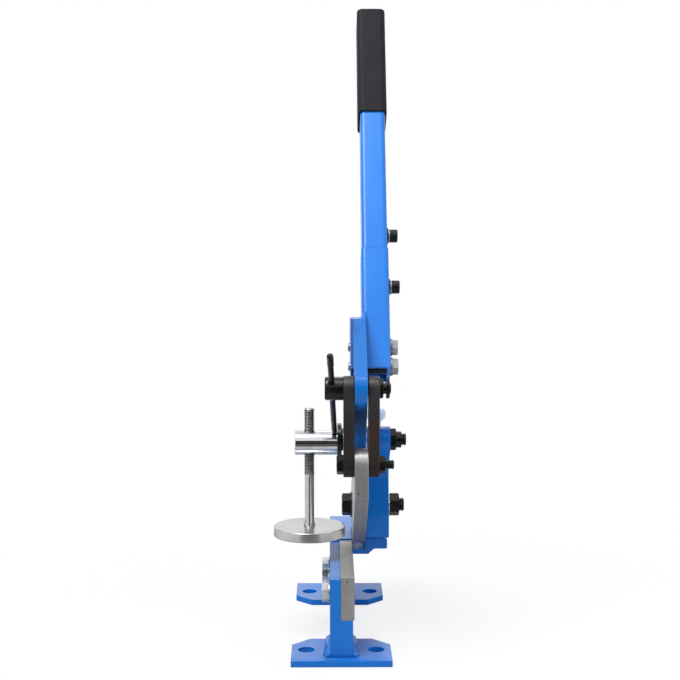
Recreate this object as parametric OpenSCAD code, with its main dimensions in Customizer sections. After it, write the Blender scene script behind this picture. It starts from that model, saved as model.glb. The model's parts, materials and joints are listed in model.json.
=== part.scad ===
// Bench lever shear, millimetres.
// +X is to the right of someone facing the mouth, +Y runs away from them, +Z is up.
// The origin is the middle of the four foot holes, on the underside of the feet.
// The lever leans back at rest. Pulled forward, it swings the links down and closes the upper blade.

/* [Feet] */
// Width of each foot across the machine
foot_w = 110; // [90:1:150]
// Depth of each foot along the machine
foot_d = 75; // [60:1:90]
// Thickness of each foot
foot_t = 7; // [5:0.5:12]
// Bevel on the two inboard corners
foot_bevel = 20; // [5:1:30]
// Spacing of the foot holes across the machine
hole_pitch_x = 77; // [70:1:85]
// Spacing of the foot holes along the machine
hole_pitch_y = 225; // [200:1:260]
// Diameter of a foot hole
foot_hole_d = 18; // [12:0.5:20]

/* [Frame] */
// Thickness of the lower plate
frame_t = 25; // [20:0.5:32]
// Height of the cheek beside the lower blade
cheek_z = 93; // [87:1:95]
// Reach of the lower plate in front of the origin
frame_front = 140; // [130:1:145]
// Reach of the bridge behind the origin
frame_rear = 146; // [130:1:150]
// Height of the bridge top
bridge_z = 97; // [93:0.5:99]
// Thickness of the bridge
bridge_t = 19; // [15:0.5:24]
// Thickness of the upright
upright_t = 27; // [22:0.5:32]
// Height of the overhanging lower edge of the upright
upright_low_z = 108; // [105:0.5:113]
// Radius of the lug that carries the lever pivot
lug_r = 15; // [13:0.5:20]

/* [Blades] */
// Thickness of both blades
blade_t = 15; // [12:0.5:18]
// Length of the lower blade
lower_blade_l = 164; // [150:1:166]
// Height of the lower blade's section
lower_blade_h = 47.5; // [40:0.5:52]
// Height of the lower cutting edge above the bench
lower_edge_z = 95.5; // [94:0.5:99]
// Angle that the upper blade closes through
blade_travel = 28; // [24:0.5:28]
// Radius of the upper blade's eye round the link bolt
blade_eye_r = 18; // [15:0.5:22]
// Radius of the upper blade's boss round its pivot
blade_boss_r = 30; // [24:0.5:34]
// How far the upper cutting edge bows out
edge_bow = 6; // [2:0.5:8]
// Height of the upper blade's front corner when open
open_corner_z = 181; // [172:0.5:185]
// Pitch of the three clamp bolts along the lower blade
clamp_pitch = 55; // [45:1:58]

/* [Linkage] */
// Place of the blade pivot along the machine
blade_pivot_y = 44; // [40:0.5:48]
// Height of the blade pivot
blade_pivot_z = 135; // [133:0.5:139]
// Place of the lever pivot along the machine
lever_pivot_y = -35; // [-40:0.5:-30]
// Height of the lever pivot
lever_pivot_z = 228.5; // [223:0.5:233]
// Place of the two link pins along the machine
link_pin_y = -120; // [-123:0.5:-117]
// Height of the lower link pin
lower_pin_z = 215; // [211:0.5:219]
// Distance between the centres of a link
link_centres = 83.5; // [80:0.5:88]
// Thickness of a link
link_t = 12; // [8:0.5:14]
// Width of a link
link_w = 27.5; // [24:0.5:32]

/* [Lever] */
// Lean of the lever behind the vertical at rest
lever_lean = 27; // [15:0.5:32]
// Place of the middle of the lever tube's lower end, along the machine
tube_foot_y = -52.5; // [-56:0.5:-48]
// Height of the middle of the lever tube's lower end
tube_foot_z = 305.5; // [301:0.5:311]
// Width of the lower tube
lower_tube_w = 32; // [30:0.5:36]
// Wall of the lower tube
lower_tube_wall = 4; // [3:0.25:5]
// Width of the handle tube
handle_tube_w = 30; // [27:0.5:32]
// Wall of the handle tube
handle_tube_wall = 3; // [2:0.25:4]
// Depth of both tubes
tube_depth = 50; // [46:0.5:56]
// Length of the lower tube
lower_tube_l = 150; // [140:1:170]
// Length of the handle tube
handle_tube_l = 333; // [280:1:380]
// Thickness of the lever plate
plate_t = 14; // [12:0.5:14]
// Extra thickness of the lever plate beside the tube
pad_t = 3.5; // [2:0.5:5]
// Length of the lever plate's grip on the tube
clasp_l = 68; // [60:1:80]
// Radius of the lever plate's nose round the upper pin
nose_r = 20; // [18:0.5:24]
// Length of the rubber grip
grip_l = 152; // [130:1:170]
// Wall of the rubber grip
grip_wall = 2.75; // [2:0.25:4]

/* [Hold-down] */
// Diameter of the arm
arm_d = 28.5; // [24:0.5:32]
// Length of the arm
arm_l = 49; // [44:1:60]
// Drop of the arm's axis below the lever pivot
arm_drop = 3.5; // [0:0.5:4]
// Diameter of the screw's thread
screw_d = 12; // [10:0.5:14]
// Length of the screw above the disc
screw_l = 137; // [125:1:145]
// Diameter of the disc
disc_d = 83; // [60:1:86]
// Thickness of the disc
disc_t = 11; // [8:0.5:14]
// Height of the disc's underside
disc_z = 116.7; // [112:0.1:122]

/* [Hidden] */
$fn = 64;
// Sides of the shapes that are rounded by hull or offset
soft_fn = 32;
// Overrun of every cut past the face that it opens
over = 1;
// Running clearance of a pin in its bore, on the radius
run = 0.05;
// Side clearance between flat faces that slide
side = 0.1;
// Gap that keeps a threaded or pressed face just off its seat
seat = 0.02;

// Blade, lever and link pivots in the side plane, as [along, up]
blade_pivot = [blade_pivot_y, blade_pivot_z];
lever_pivot = [lever_pivot_y, lever_pivot_z];
lower_pin = [link_pin_y, lower_pin_z];
upper_pin = [link_pin_y, lower_pin_z + link_centres];

// Turns a side-plane point about a centre, positive with the front going down
function turned(p, c, a) = let (d = p - c)
    c + [d[0] * cos(a) - d[1] * sin(a), d[0] * sin(a) + d[1] * cos(a)];
// Bearing of one side-plane point from another
function bearing(p, c) = atan2(p[1] - c[1], p[0] - c[0]);
// Crossing of two circles that lies in front of the line between their centres
function crossing(c0, r0, c1, r1) = let (d = norm(c1 - c0), u = (c1 - c0) / d,
    a = (r0 * r0 - r1 * r1 + d * d) / (2 * d), h = sqrt(r0 * r0 - a * a))
    c0 + a * u + h * [-u[1], u[0]];

// The closed pose, which fixes how far the lever and the links turn
lower_pin_shut = turned(lower_pin, blade_pivot, blade_travel);
upper_pin_shut = crossing(lower_pin_shut, link_centres, lever_pivot, norm(upper_pin - lever_pivot));
lever_travel = bearing(upper_pin_shut, lever_pivot) - bearing(upper_pin, lever_pivot)
    + (bearing(upper_pin_shut, lever_pivot) < bearing(upper_pin, lever_pivot) ? 360 : 0);
link_travel = bearing(upper_pin_shut, lower_pin_shut) - bearing(upper_pin, lower_pin);

// Sideways layout of the plates, from the shear face between the blades
frame_x = frame_t / 2;
// Step of the shear face past the lower plate's right face
shear_step = 1.6;
shear_x = frame_x + shear_step;
blade_x = shear_x + side;
lower_blade_x = shear_x - blade_t;
link_gap_x = blade_x + blade_t + side;
// Room between the upper blade and the upright, which the shims fill
shim_room = 0.8;
upright_x = blade_x + blade_t + shim_room;
upright_end_x = upright_x + upright_t;

// Thread diameters and widths across flats of the fasteners
m16_d = 16;
m14_d = 14;
m12_d = 12;
m10_d = 10;
m16_af = 24;
m14_af = 22;
m12_af = 19;
m10_af = 17;
// Chamfer at the end of a bar or bolt, and the height turned off a hexagon's corners
chamfer = 1;
head_chamfer = 0.7;

// A hexagonal prism on the Z axis, by the width across its flats
module hex(af, h) {
    cylinder(d = af / cos(30), h = h, $fn = 6);
}

// A hexagonal head or nut with its outer corners turned off, standing on z = 0
module hex_body(af, h) {
    intersection() {
        hex(af, h);
        union() {
            cylinder(d = af / cos(30), h = h - head_chamfer);
            translate([0, 0, h - head_chamfer]) cylinder(d1 = af / cos(30), d2 = af, h = head_chamfer);
        }
    }
}

// A ring on the Z axis
module ring(outer, inner, h) {
    difference() {
        cylinder(d = outer, h = h);
        translate([0, 0, -over]) cylinder(d = inner, h = h + 2 * over);
    }
}

// A hexagonal nut standing on z = 0
module nut(af, d, h) {
    difference() {
        hex_body(af, h);
        translate([0, 0, -over]) cylinder(d = d + 2 * seat, h = h + 2 * over);
    }
}

// A round bar on the Z axis with a chamfer at its far end
module bar(d, h) {
    cylinder(d = d, h = h - chamfer);
    translate([0, 0, h - chamfer]) cylinder(d1 = d, d2 = d - 2 * chamfer, h = chamfer);
}

// Stands children on x, at a side-plane point, pointing to the right
module rightward(x, p) {
    translate([x, p[0], p[1]]) rotate([0, 90, 0]) children();
}

// Stands children on x, at a side-plane point, pointing to the left
module leftward(x, p) {
    translate([x, p[0], p[1]]) rotate([0, -90, 0]) children();
}

// Gives a side-plane outline a thickness, from x to the right
module slab(x, t) {
    translate([x, 0, 0]) rotate([90, 0, 90]) linear_extrude(t) children();
}

// Rounds an outline's outer and inner corners
module softened(outer, inner) {
    offset(r = -inner, $fn = soft_fn) offset(r = inner + outer, $fn = soft_fn) offset(r = -outer)
        children();
}

/* Frame and feet */

// Places of the three clamp bolts and of the blade's rear end
clamp_z = 67;
first_clamp_y = -98;
clamp_room = 1;
blade_end_gap = 2;
clamp_ys = [for (i = [0 : 2]) first_clamp_y + i * clamp_pitch];
lower_blade_end = lower_blade_l - frame_front;
bridge_front = lower_blade_end + blade_end_gap;
clamp_hole_d = m12_d + clamp_room;

// Outline of the upright, by its distances from the two pivots
neck_back = 33;
neck_drop = 41.5;
toe_front = 62;
toe_h = 29;
shoulder_back = 68;
shoulder_h = 22;
tail_h = 18;
saddle_back = 62;
saddle_drop = 12;
toe_reach = 12;
// Where the upright's front and rear edges leave the lug, as angles round the lever pivot
lug_front_angle = 235;
lug_rear_angle = 70;
// Corner radii of the upright and of the bridge's section
upright_outer_r = 4;
upright_inner_r = 18;
bridge_outer_r = 2;
bridge_inner_r = 4;
// Ramp on the bridge's underside below the upright
ramp_in = 4;
ramp_out = 11;
ramp_rise = 6.5;
// Underside of the upright beside the bridge
upright_foot_z = bridge_z - bridge_t + ramp_rise;
// The upper cutting edge, from the front corner to the heel, bowed outwards
heel_front = 26;
heel_drop = 41;
heel = blade_pivot - [heel_front, heel_drop];
front_corner = [link_pin_y - blade_eye_r, open_corner_z];
edge_steps = 14;
function edge_point(u) = let (d = heel - front_corner, n = [d[1], -d[0]] / norm(d))
    front_corner + u * d + 4 * edge_bow * u * (1 - u) * n;
// Radius of the pocket that clears the cutting edge where it passes the bridge's front when shut
heel_room = 1.5;
pocket_r = heel_room + max([for (i = [0 : edge_steps]) let (p = edge_point(i / edge_steps))
    turned(p, blade_pivot, blade_travel)[0] > bridge_front - 2 * heel_room ? norm(p - blade_pivot) : 0]);
// The post and its knob, placed from the lever pivot
stem_d = 12;
knob_d = 23;
knob_h = 16;
knob_crown_d = 16;
knob_flare_h = knob_h / 4;
post_back = 65;
post_sink = 30;
post_rise = 27.5;
post_foot_z = lever_pivot_z - post_sink;
post_top_z = lever_pivot_z + post_rise;
// Radius of the weld beads beside the lower plate
foot_bead = 5;

module lower_plate() {
    slab(-frame_x, frame_t)
        polygon([
            [-frame_front, foot_t], [-frame_front, cheek_z], [bridge_front, cheek_z],
            [bridge_front, bridge_z], [frame_rear, bridge_z], [frame_rear, foot_t]
        ]);
}

module bridge() {
    translate([0, frame_rear, 0]) rotate([90, 0, 0]) linear_extrude(frame_rear - bridge_front)
        softened(bridge_outer_r, bridge_inner_r)
            polygon([
                [0, bridge_z], [0, bridge_z - bridge_t], [upright_x + ramp_in, bridge_z - bridge_t],
                [upright_x + ramp_out, upright_foot_z], [upright_end_x, upright_foot_z],
                [upright_end_x, bridge_z]
            ]);
}

module upright() {
    slab(upright_x, upright_t)
        softened(upright_outer_r, upright_inner_r)
            union() {
                translate(lever_pivot) circle(lug_r);
                polygon([
                    lever_pivot + lug_r * [cos(lug_front_angle), sin(lug_front_angle)],
                    lever_pivot + [neck_back, -neck_drop],
                    [blade_pivot_y - toe_front, upright_low_z + toe_h],
                    [blade_pivot_y - toe_front, upright_low_z], [bridge_front + toe_reach, upright_low_z],
                    [bridge_front + toe_reach, upright_foot_z], [frame_rear, upright_foot_z],
                    [frame_rear, bridge_z + tail_h], blade_pivot + [shoulder_back, shoulder_h],
                    lever_pivot + [saddle_back, -saddle_drop],
                    lever_pivot + lug_r * [cos(lug_rear_angle), sin(lug_rear_angle)]
                ]);
            }
}

module frame() {
    color("royalblue") difference() {
        union() {
            lower_plate();
            bridge();
            upright();
        }
        // Rebate for the lower blade
        translate([lower_blade_x - seat, -frame_front - over, lower_edge_z - lower_blade_h - seat])
            cube([frame_t, lower_blade_l + over + seat, lower_blade_h + over]);
        // Pocket that the upper blade's heel swings through
        rightward(shear_x - seat, blade_pivot) cylinder(r = pocket_r, h = upright_x - shear_x + seat);
        for (y = clamp_ys) rightward(-frame_x - over, [y, clamp_z])
            cylinder(d = clamp_hole_d, h = frame_t);
        rightward(shear_x, blade_pivot) cylinder(d = m16_d + 2 * seat, h = upright_end_x);
        rightward(shear_x, lever_pivot) cylinder(d = m16_d + 2 * seat, h = upright_end_x);
        translate([upright_x + upright_t / 2, lever_pivot_y + post_back, post_foot_z - seat])
            cylinder(d = stem_d + 2 * seat, h = post_top_z);
    }
}

// One foot, with its bevels towards +Y and a weld bead down each side of the frame plate
module foot(front_y) {
    translate([0, front_y, 0]) {
        difference() {
            linear_extrude(foot_t - seat)
                polygon([
                    [-foot_w / 2, 0], [foot_w / 2, 0], [foot_w / 2, foot_d - foot_bevel],
                    [foot_w / 2 - foot_bevel, foot_d], [foot_bevel - foot_w / 2, foot_d],
                    [-foot_w / 2, foot_d - foot_bevel]
                ]);
            for (s = [-1, 1]) translate([s * hole_pitch_x / 2, foot_d / 2, -over])
                cylinder(d = foot_hole_d, h = foot_t + 2 * over);
        }
        for (s = [0, 1]) mirror([s, 0, 0])
            translate([frame_x + seat, foot_d - over, foot_t - seat]) rotate([90, 0, 0])
                linear_extrude(foot_d - 2 * foot_bead)
                    intersection() {
                        circle(foot_bead);
                        translate([0, -over]) square([foot_bead, foot_bead + over]);
                    }
    }
}

module front_foot() {
    color("cornflowerblue") foot(-hole_pitch_y / 2 - foot_d / 2);
}

module rear_foot() {
    color("cornflowerblue") mirror([0, 1, 0]) foot(-hole_pitch_y / 2 - foot_d / 2);
}

// Round-headed post behind the lug
module stop_post() {
    color("lightsteelblue") translate([upright_x + upright_t / 2, lever_pivot_y + post_back, 0]) {
        translate([0, 0, post_foot_z]) cylinder(d = stem_d, h = post_top_z - knob_h - post_foot_z + over);
        translate([0, 0, post_top_z - knob_h]) {
            cylinder(d1 = stem_d, d2 = knob_d, h = knob_flare_h);
            translate([0, 0, knob_flare_h]) cylinder(d = knob_d, h = knob_h - 2 * knob_flare_h);
            translate([0, 0, knob_h - knob_flare_h])
                cylinder(d1 = knob_d, d2 = knob_crown_d, h = knob_flare_h);
        }
    }
}

/* Blades and their fasteners */

// Heads, washers and depth of the clamp bolts
clamp_head_h = 7.5;
clamp_washer_t = 1.6;
clamp_washer_d = 24;
clamp_depth = 12;

module lower_blade() {
    color("silver") difference() {
        translate([lower_blade_x, -frame_front, lower_edge_z - lower_blade_h])
            cube([blade_t, lower_blade_l, lower_blade_h]);
        for (y = clamp_ys) rightward(lower_blade_x - over, [y, clamp_z])
            cylinder(d = m12_d + 2 * seat, h = clamp_depth + over + seat);
    }
}

module lower_blade_bolts() {
    color("gainsboro") for (y = clamp_ys) {
        leftward(-frame_x - clamp_washer_t - seat, [y, clamp_z]) hex_body(m12_af, clamp_head_h);
        rightward(-frame_x - clamp_washer_t - seat - over, [y, clamp_z])
            cylinder(d = m12_d, h = lower_blade_x + clamp_depth + frame_x + clamp_washer_t + seat + over);
    }
}

module lower_blade_washers() {
    color("gainsboro") for (y = clamp_ys) rightward(-frame_x - clamp_washer_t, [y, clamp_z])
        ring(clamp_washer_d, m12_d + 2 * run, clamp_washer_t - seat);
}

// The link bolt's room in the eye: its place at rest and at half travel, both seen from the blade
half_pin = turned(upper_pin, lever_pivot, lever_travel / 2)
    + turned(lower_pin - upper_pin, [0, 0], link_travel / 2);
slot_far = turned(half_pin, blade_pivot, -blade_travel / 2);
// Shank of the link bolt, and its room in the blade's slot on the radius
link_bolt_d = 13;
slot_room = 0.35;
slot_d = link_bolt_d + 2 * slot_room;

module upper_blade() {
    color("darkgray") difference() {
        slab(blade_x, blade_t) hull() {
            translate(lower_pin) circle(blade_eye_r);
            translate(blade_pivot) circle(blade_boss_r);
            polygon(concat([for (i = [0 : edge_steps]) edge_point(i / edge_steps)], [blade_pivot]));
        }
        rightward(blade_x - over, blade_pivot) cylinder(d = m16_d + 2 * run, h = blade_t + 2 * over);
        slab(blade_x - over, blade_t + 2 * over) translate(lower_pin) rotate(bearing(slot_far, lower_pin)) {
            circle(d = slot_d);
            translate([0, -slot_d / 2]) square([norm(slot_far - lower_pin), slot_d]);
            translate([norm(slot_far - lower_pin), 0]) circle(d = slot_d);
        }
    }
}

// Head, washers and nut of the blade pivot
pivot_head_h = 10;
pivot_washer_d = 30;
head_washer_t = 2;
nut_washer_t = 3;
pivot_nut_h = 12;
blade_bolt_tail = 6;
shim_d = 40;
blade_bolt_end = upright_end_x + nut_washer_t + pivot_nut_h + blade_bolt_tail;

module blade_pivot_bolt() {
    color("#26282b") {
        leftward(blade_x - side - head_washer_t - seat, blade_pivot) hex_body(m16_af, pivot_head_h);
        rightward(blade_x - side - head_washer_t - seat - over, blade_pivot)
            bar(m16_d, blade_bolt_end - blade_x + side + head_washer_t + seat + over);
    }
}

module blade_head_washer() {
    color("#26282b") rightward(blade_x - side - head_washer_t, blade_pivot)
        ring(pivot_washer_d, m16_d + 2 * run, head_washer_t);
}

module blade_shim() {
    color("gainsboro") rightward(blade_x + blade_t + side, blade_pivot)
        ring(shim_d, m16_d + 2 * run, upright_x - blade_x - blade_t - side - seat);
}

module blade_nut_washer() {
    color("gainsboro") rightward(upright_end_x + seat, blade_pivot)
        ring(pivot_washer_d, m16_d + 2 * run, nut_washer_t - 2 * seat);
}

module blade_pivot_nut() {
    color("#26282b") rightward(upright_end_x + nut_washer_t, blade_pivot) nut(m16_af, m16_d, pivot_nut_h);
}

/* Lever pivot and hold-down */

// Flange, sleeve, stud and self-locking nut of the lever pivot
flange_d = 37.5;
flange_t = 5;
sleeve_d = 26;
sleeve_l = 13;
sleeve_x = blade_x - side - sleeve_l;
flange_x = sleeve_x - flange_t;
arm_end_x = flange_x - seat;
stud_grip = 14;
stud_tail = 18.5;
stud_end = upright_end_x + stud_tail;
lever_shim_d = 30;
nyloc_hex_h = 7;
nyloc_collar_h = 6;
nyloc_collar_d = 19;
arm_axis = lever_pivot - [0, arm_drop];
screw_reach = 32.3;
screw_x = arm_end_x - screw_reach;
disc_top = disc_z + disc_t;

module lever_pivot_stud() {
    color("#26282b") {
        rightward(arm_end_x - stud_grip, lever_pivot) cylinder(d = m14_d, h = stud_grip + over);
        rightward(arm_end_x + seat, lever_pivot)
            cylinder(d = m16_d, h = upright_end_x - arm_end_x - seat);
        rightward(upright_end_x - over, lever_pivot) bar(m14_d, stud_end - upright_end_x + over);
    }
}

module lever_pivot_flange() {
    color("#26282b") rightward(flange_x, lever_pivot) ring(flange_d, m16_d + 2 * run, flange_t - seat);
}

module lever_pivot_sleeve() {
    color("#26282b") rightward(sleeve_x, lever_pivot) ring(sleeve_d, m16_d + 2 * run, sleeve_l);
}

module lever_shim() {
    color("gainsboro") rightward(blade_x + plate_t + side, lever_pivot)
        ring(lever_shim_d, m16_d + 2 * run, upright_x - blade_x - plate_t - side - seat);
}

module lever_pivot_nut() {
    color("#26282b") rightward(upright_end_x + seat, lever_pivot) {
        nut(m14_af, m14_d, nyloc_hex_h);
        translate([0, 0, nyloc_hex_h - seat]) ring(nyloc_collar_d, m14_d + 2 * seat, nyloc_collar_h);
    }
}

module hold_down_arm() {
    color("white") difference() {
        leftward(arm_end_x, arm_axis) bar(arm_d, arm_l);
        rightward(arm_end_x - stud_grip - seat, lever_pivot) cylinder(d = m14_d + 2 * seat, h = arm_l);
        translate([screw_x, lever_pivot_y, lever_pivot_z - arm_d])
            cylinder(d = screw_d + 2 * run, h = 2 * arm_d);
        lock_line() translate([0, 0, -lock_reach - lock_depth])
            cylinder(d = lock_d + 2 * lock_room, h = lock_depth + over);
    }
}

// Shank, foot and spigot of the hold-down screw, up from the disc
shank_top = 60;
shank_d = 11;
screw_foot_d = 13.5;
screw_foot_h = 5;
spigot_d = 8;
spigot_l = 6;

module hold_down_screw() {
    color("dimgray") translate([screw_x, lever_pivot_y, disc_top]) {
        translate([0, 0, shank_top]) bar(screw_d, screw_l - shank_top);
        translate([0, 0, screw_foot_h - over])
            cylinder(d = shank_d, h = shank_top - screw_foot_h + 2 * over);
        translate([0, 0, side]) cylinder(d1 = screw_foot_d, d2 = shank_d, h = screw_foot_h);
        translate([0, 0, -spigot_l]) cylinder(d = spigot_d, h = spigot_l + 2 * over);
    }
}

module hold_down_disc() {
    color("silver") translate([screw_x, lever_pivot_y, disc_z]) difference() {
        cylinder(d = disc_d, h = disc_t, $fn = 128);
        translate([0, 0, disc_t - spigot_l - side])
            cylinder(d = spigot_d + 2 * run, h = spigot_l + side + over);
    }
}

/* Lever, handle and grip */

tube_foot = [tube_foot_y, tube_foot_z];
// Middle of the tubes, right of the upright's near face
tube_offset = 10.2;
tube_mid_x = upright_x + tube_offset;
tube_corner = 5;
tube_room = 0.1;
// A side-plane point on the lever, by its distance up the tube and in front of the tube's middle
function on_lever(up, fore) = tube_foot + up * [sin(lever_lean), cos(lever_lean)]
    + fore * [-cos(lever_lean), sin(lever_lean)];

// Corners and bosses of the lever plate
plate_boss_r = 20;
plate_corner = 8;
// The plate's overhang in front of the tube, and its set-back from the rear
clasp_fore = 6;
clasp_aft = 3;
clasp_front = tube_depth / 2 + clasp_fore;
clasp_rear = tube_depth / 2 - clasp_aft;
pad_low = 12;
pad_relief_r = 42;
plate_end_x = blade_x + plate_t;
lever_bolt_ups = [10, 34];
bolt_stack_t = 2.9;
bolt_tip = 2.5;
lever_head_h = 6.4;
bolt_washer_d = 21;
sleeve_wall_d = 17;
lower_right_x = tube_mid_x + lower_tube_w / 2;
handle_right_x = tube_mid_x + handle_tube_w / 2;
bolt_room = 0.5;
bolt_hole_d = m10_d + bolt_room;
// Cap screws, placed from the tubes' joint
cap_low_drop = 40;
cap_high_rise = 27;
cap_low_up = lower_tube_l - cap_low_drop;
cap_high_up = lower_tube_l + cap_high_rise;
cap_head_d = 16;
cap_head_h = 9.5;
cap_socket_af = 8;
cap_socket_depth = 5;
cap_washer_d = 20;
cap_washer_t = 2;
cap_lock_t = 1.8;
cap_lock_d = 17;
// Reach of the joiner below and above the tubes' joint
joiner_drop = 60;
joiner_rise = 50;
joiner_low = lower_tube_l - joiner_drop;
joiner_high = lower_tube_l + joiner_rise;
// Closed end of the grip, and its room over the tube's end
grip_room = 1;
grip_end_t = 3;
grip_end_up = lower_tube_l + handle_tube_l + grip_room + grip_end_t;
grip_corner = 7;

// Puts children in the lever's own frame: z up the tube, y to the rear, x as the part
module lever_frame() {
    translate([0, tube_foot_y, tube_foot_z]) rotate([-lever_lean, 0, 0]) children();
}

// A rectangle with round corners, centred
module rounded_box(w, d, r) {
    square([w - 2 * r, d], center = true);
    square([w, d - 2 * r], center = true);
    for (sx = [-1, 1]) for (sy = [-1, 1]) translate([sx * (w / 2 - r), sy * (d / 2 - r)]) circle(r);
}

// A length of rectangular tube up the lever
module tube(w, wall, low, length) {
    translate([tube_mid_x, 0, low]) linear_extrude(length) difference() {
        rounded_box(w, tube_depth, tube_corner);
        rounded_box(w - 2 * wall, tube_depth - 2 * wall, tube_corner - wall / 2);
    }
}

// A drilling across the lever, from x to the right
module across(x, up, d, length) {
    translate([x, 0, up]) rotate([0, 90, 0]) cylinder(d = d, h = length);
}

module lever_plate() {
    color("dodgerblue") difference() {
        union() {
            slab(blade_x, plate_t) hull() {
                translate(upper_pin) circle(nose_r);
                translate(lever_pivot) circle(plate_boss_r);
                for (fore = [clasp_front - plate_corner, plate_corner - clasp_rear])
                    translate(on_lever(clasp_l - plate_corner, fore)) circle(plate_corner);
            }
            difference() {
                slab(blade_x - pad_t, pad_t + over) hull()
                    for (up = [plate_corner - pad_low, clasp_l - plate_corner])
                        for (fore = [clasp_front - plate_corner, plate_corner - clasp_rear])
                            translate(on_lever(up, fore)) circle(plate_corner);
                rightward(blade_x - pad_t - over, upper_pin) cylinder(r = pad_relief_r, h = pad_t + over);
            }
        }
        rightward(blade_x - over, lever_pivot) cylinder(d = m16_d + 2 * run, h = plate_t + 2 * over);
        rightward(blade_x - over, upper_pin) cylinder(d = m16_d + 2 * run, h = plate_t + 2 * over);
        lever_frame() for (up = lever_bolt_ups)
            across(blade_x - pad_t - over, up, m10_d + 2 * seat, plate_t + pad_t + 2 * over);
    }
}

module lower_tube() {
    color("dodgerblue") lever_frame() difference() {
        tube(lower_tube_w, lower_tube_wall, 0, lower_tube_l - seat);
        // Notch that the lever plate fills
        translate([tube_mid_x - lower_tube_w, -tube_depth, -over])
            cube([plate_end_x + seat - tube_mid_x + lower_tube_w, 2 * tube_depth, clasp_l + over + tube_room]);
        for (up = lever_bolt_ups) across(tube_mid_x, up, bolt_hole_d, lower_tube_w);
        across(tube_mid_x, cap_low_up, bolt_hole_d, lower_tube_w);
    }
}

module handle_tube() {
    color("dodgerblue") lever_frame() difference() {
        tube(handle_tube_w, handle_tube_wall, lower_tube_l, handle_tube_l);
        across(tube_mid_x, cap_high_up, bolt_hole_d, handle_tube_w);
    }
}

// Bar inside both tubes
module tube_joiner() {
    joiner_w = min(lower_tube_w - 2 * lower_tube_wall, handle_tube_w - 2 * handle_tube_wall) - 2 * tube_room;
    joiner_d = tube_depth - 2 * max(lower_tube_wall, handle_tube_wall) - 2 * tube_room;
    color("silver") lever_frame() difference() {
        translate([tube_mid_x, 0, joiner_low]) linear_extrude(joiner_high - joiner_low)
            rounded_box(joiner_w, joiner_d, tube_corner - lower_tube_wall / 2);
        for (up = [cap_low_up, cap_high_up])
            across(tube_mid_x - joiner_w, up, m10_d + 2 * seat, 2 * joiner_w);
    }
}

// Places children at each cap screw's seat on its tube, pointing to the right
module cap_screw_seats() {
    lever_frame() {
        translate([lower_right_x, 0, cap_low_up]) rotate([0, 90, 0]) children();
        translate([handle_right_x, 0, cap_high_up]) rotate([0, 90, 0]) children();
    }
}

module cap_screws() {
    color("#26282b") cap_screw_seats() {
        translate([0, 0, cap_washer_t + cap_lock_t]) difference() {
            bar(cap_head_d, cap_head_h);
            translate([0, 0, cap_head_h - cap_socket_depth]) hex(cap_socket_af, cap_socket_depth + over);
        }
        translate([0, 0, -handle_tube_w / 2 - over])
            cylinder(d = m10_d, h = handle_tube_w / 2 + over + cap_washer_t + cap_lock_t + over);
    }
}

module cap_screw_washers() {
    color("#26282b") cap_screw_seats() translate([0, 0, seat])
        ring(cap_washer_d, m10_d + 2 * run, cap_washer_t - 2 * seat);
}

module cap_screw_lock_washers() {
    color("gainsboro") cap_screw_seats() translate([0, 0, cap_washer_t])
        ring(cap_lock_d, m10_d + 2 * run, cap_lock_t - seat);
}

// Places children at each lever bolt's seat on the lower tube, pointing to the right
module lever_bolt_seats() {
    lever_frame() for (up = lever_bolt_ups) translate([lower_right_x, 0, up]) rotate([0, 90, 0])
        children();
}

module lever_bolts() {
    color("gainsboro") lever_bolt_seats() {
        translate([0, 0, bolt_stack_t]) hex_body(m10_af, lever_head_h);
        mirror([0, 0, 1]) translate([0, 0, -bolt_stack_t - over])
            bar(m10_d, lower_right_x - blade_x + pad_t + bolt_tip + bolt_stack_t + over);
    }
}

module lever_bolt_washers() {
    color("gainsboro") lever_bolt_seats() translate([0, 0, seat])
        ring(bolt_washer_d, m10_d + 2 * run, bolt_stack_t - 2 * seat);
}

// Spacers that keep the bolts from crushing the tube
module lever_bolt_sleeves() {
    color("silver") lever_frame() for (up = lever_bolt_ups)
        translate([plate_end_x + 2 * seat, 0, up]) rotate([0, 90, 0])
            ring(sleeve_wall_d, m10_d + 2 * run, lower_right_x - lower_tube_wall - plate_end_x - 4 * seat);
}

module grip() {
    outer_w = handle_tube_w + 2 * grip_wall;
    outer_d = tube_depth + 2 * grip_wall;
    low = grip_end_up - grip_l;
    color("#3e3e42") lever_frame() difference() {
        translate([tube_mid_x, 0, low]) linear_extrude(grip_l) rounded_box(outer_w, outer_d, grip_corner);
        translate([tube_mid_x, 0, low - over])
            linear_extrude(lower_tube_l + handle_tube_l + grip_room - low + over)
                rounded_box(handle_tube_w + 2 * run, tube_depth + 2 * run, tube_corner);
    }
}

/* Link pins, links and the lock rod */

// Hub, pin and thin nuts of the upper link pin
link_left_x = blade_x - side - link_t;
link_end_x = link_gap_x + link_t;
hub_d = 25.6;
hub_l = 20.3;
hub_x = link_left_x - side - hub_l;
hub_bevel = 2;
thin_nut_h = 4;
thin_nut_gap = 3;
pin_tail = 1.5;
upper_pin_end = link_end_x + 2 * thin_nut_h + thin_nut_gap + pin_tail;
// The lock rod, from its place in the hub down to the arm and up to its head
lock_d = 6.4;
lock_head_d = 7.2;
lock_head_l = 20;
lock_reach = 92.5;
lock_rise = 66;
lock_depth = 12;
lock_room = 0.1;
lock_tilt = 1.85;
lock_inset = 7.9;
lock_x = hub_x + lock_inset;
// Nut, head and tail of the lower link bolt
link_nut_h = 7;
link_head_h = 7.5;
link_bolt_tail = 9;

// Puts children on the lock rod's line: z runs up it, away from the lever pivot
module lock_line() {
    translate([lock_x, upper_pin[0], upper_pin[1]])
        rotate([bearing(upper_pin, lever_pivot) - 90, 0, 0]) rotate([0, -lock_tilt, 0]) children();
}

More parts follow.
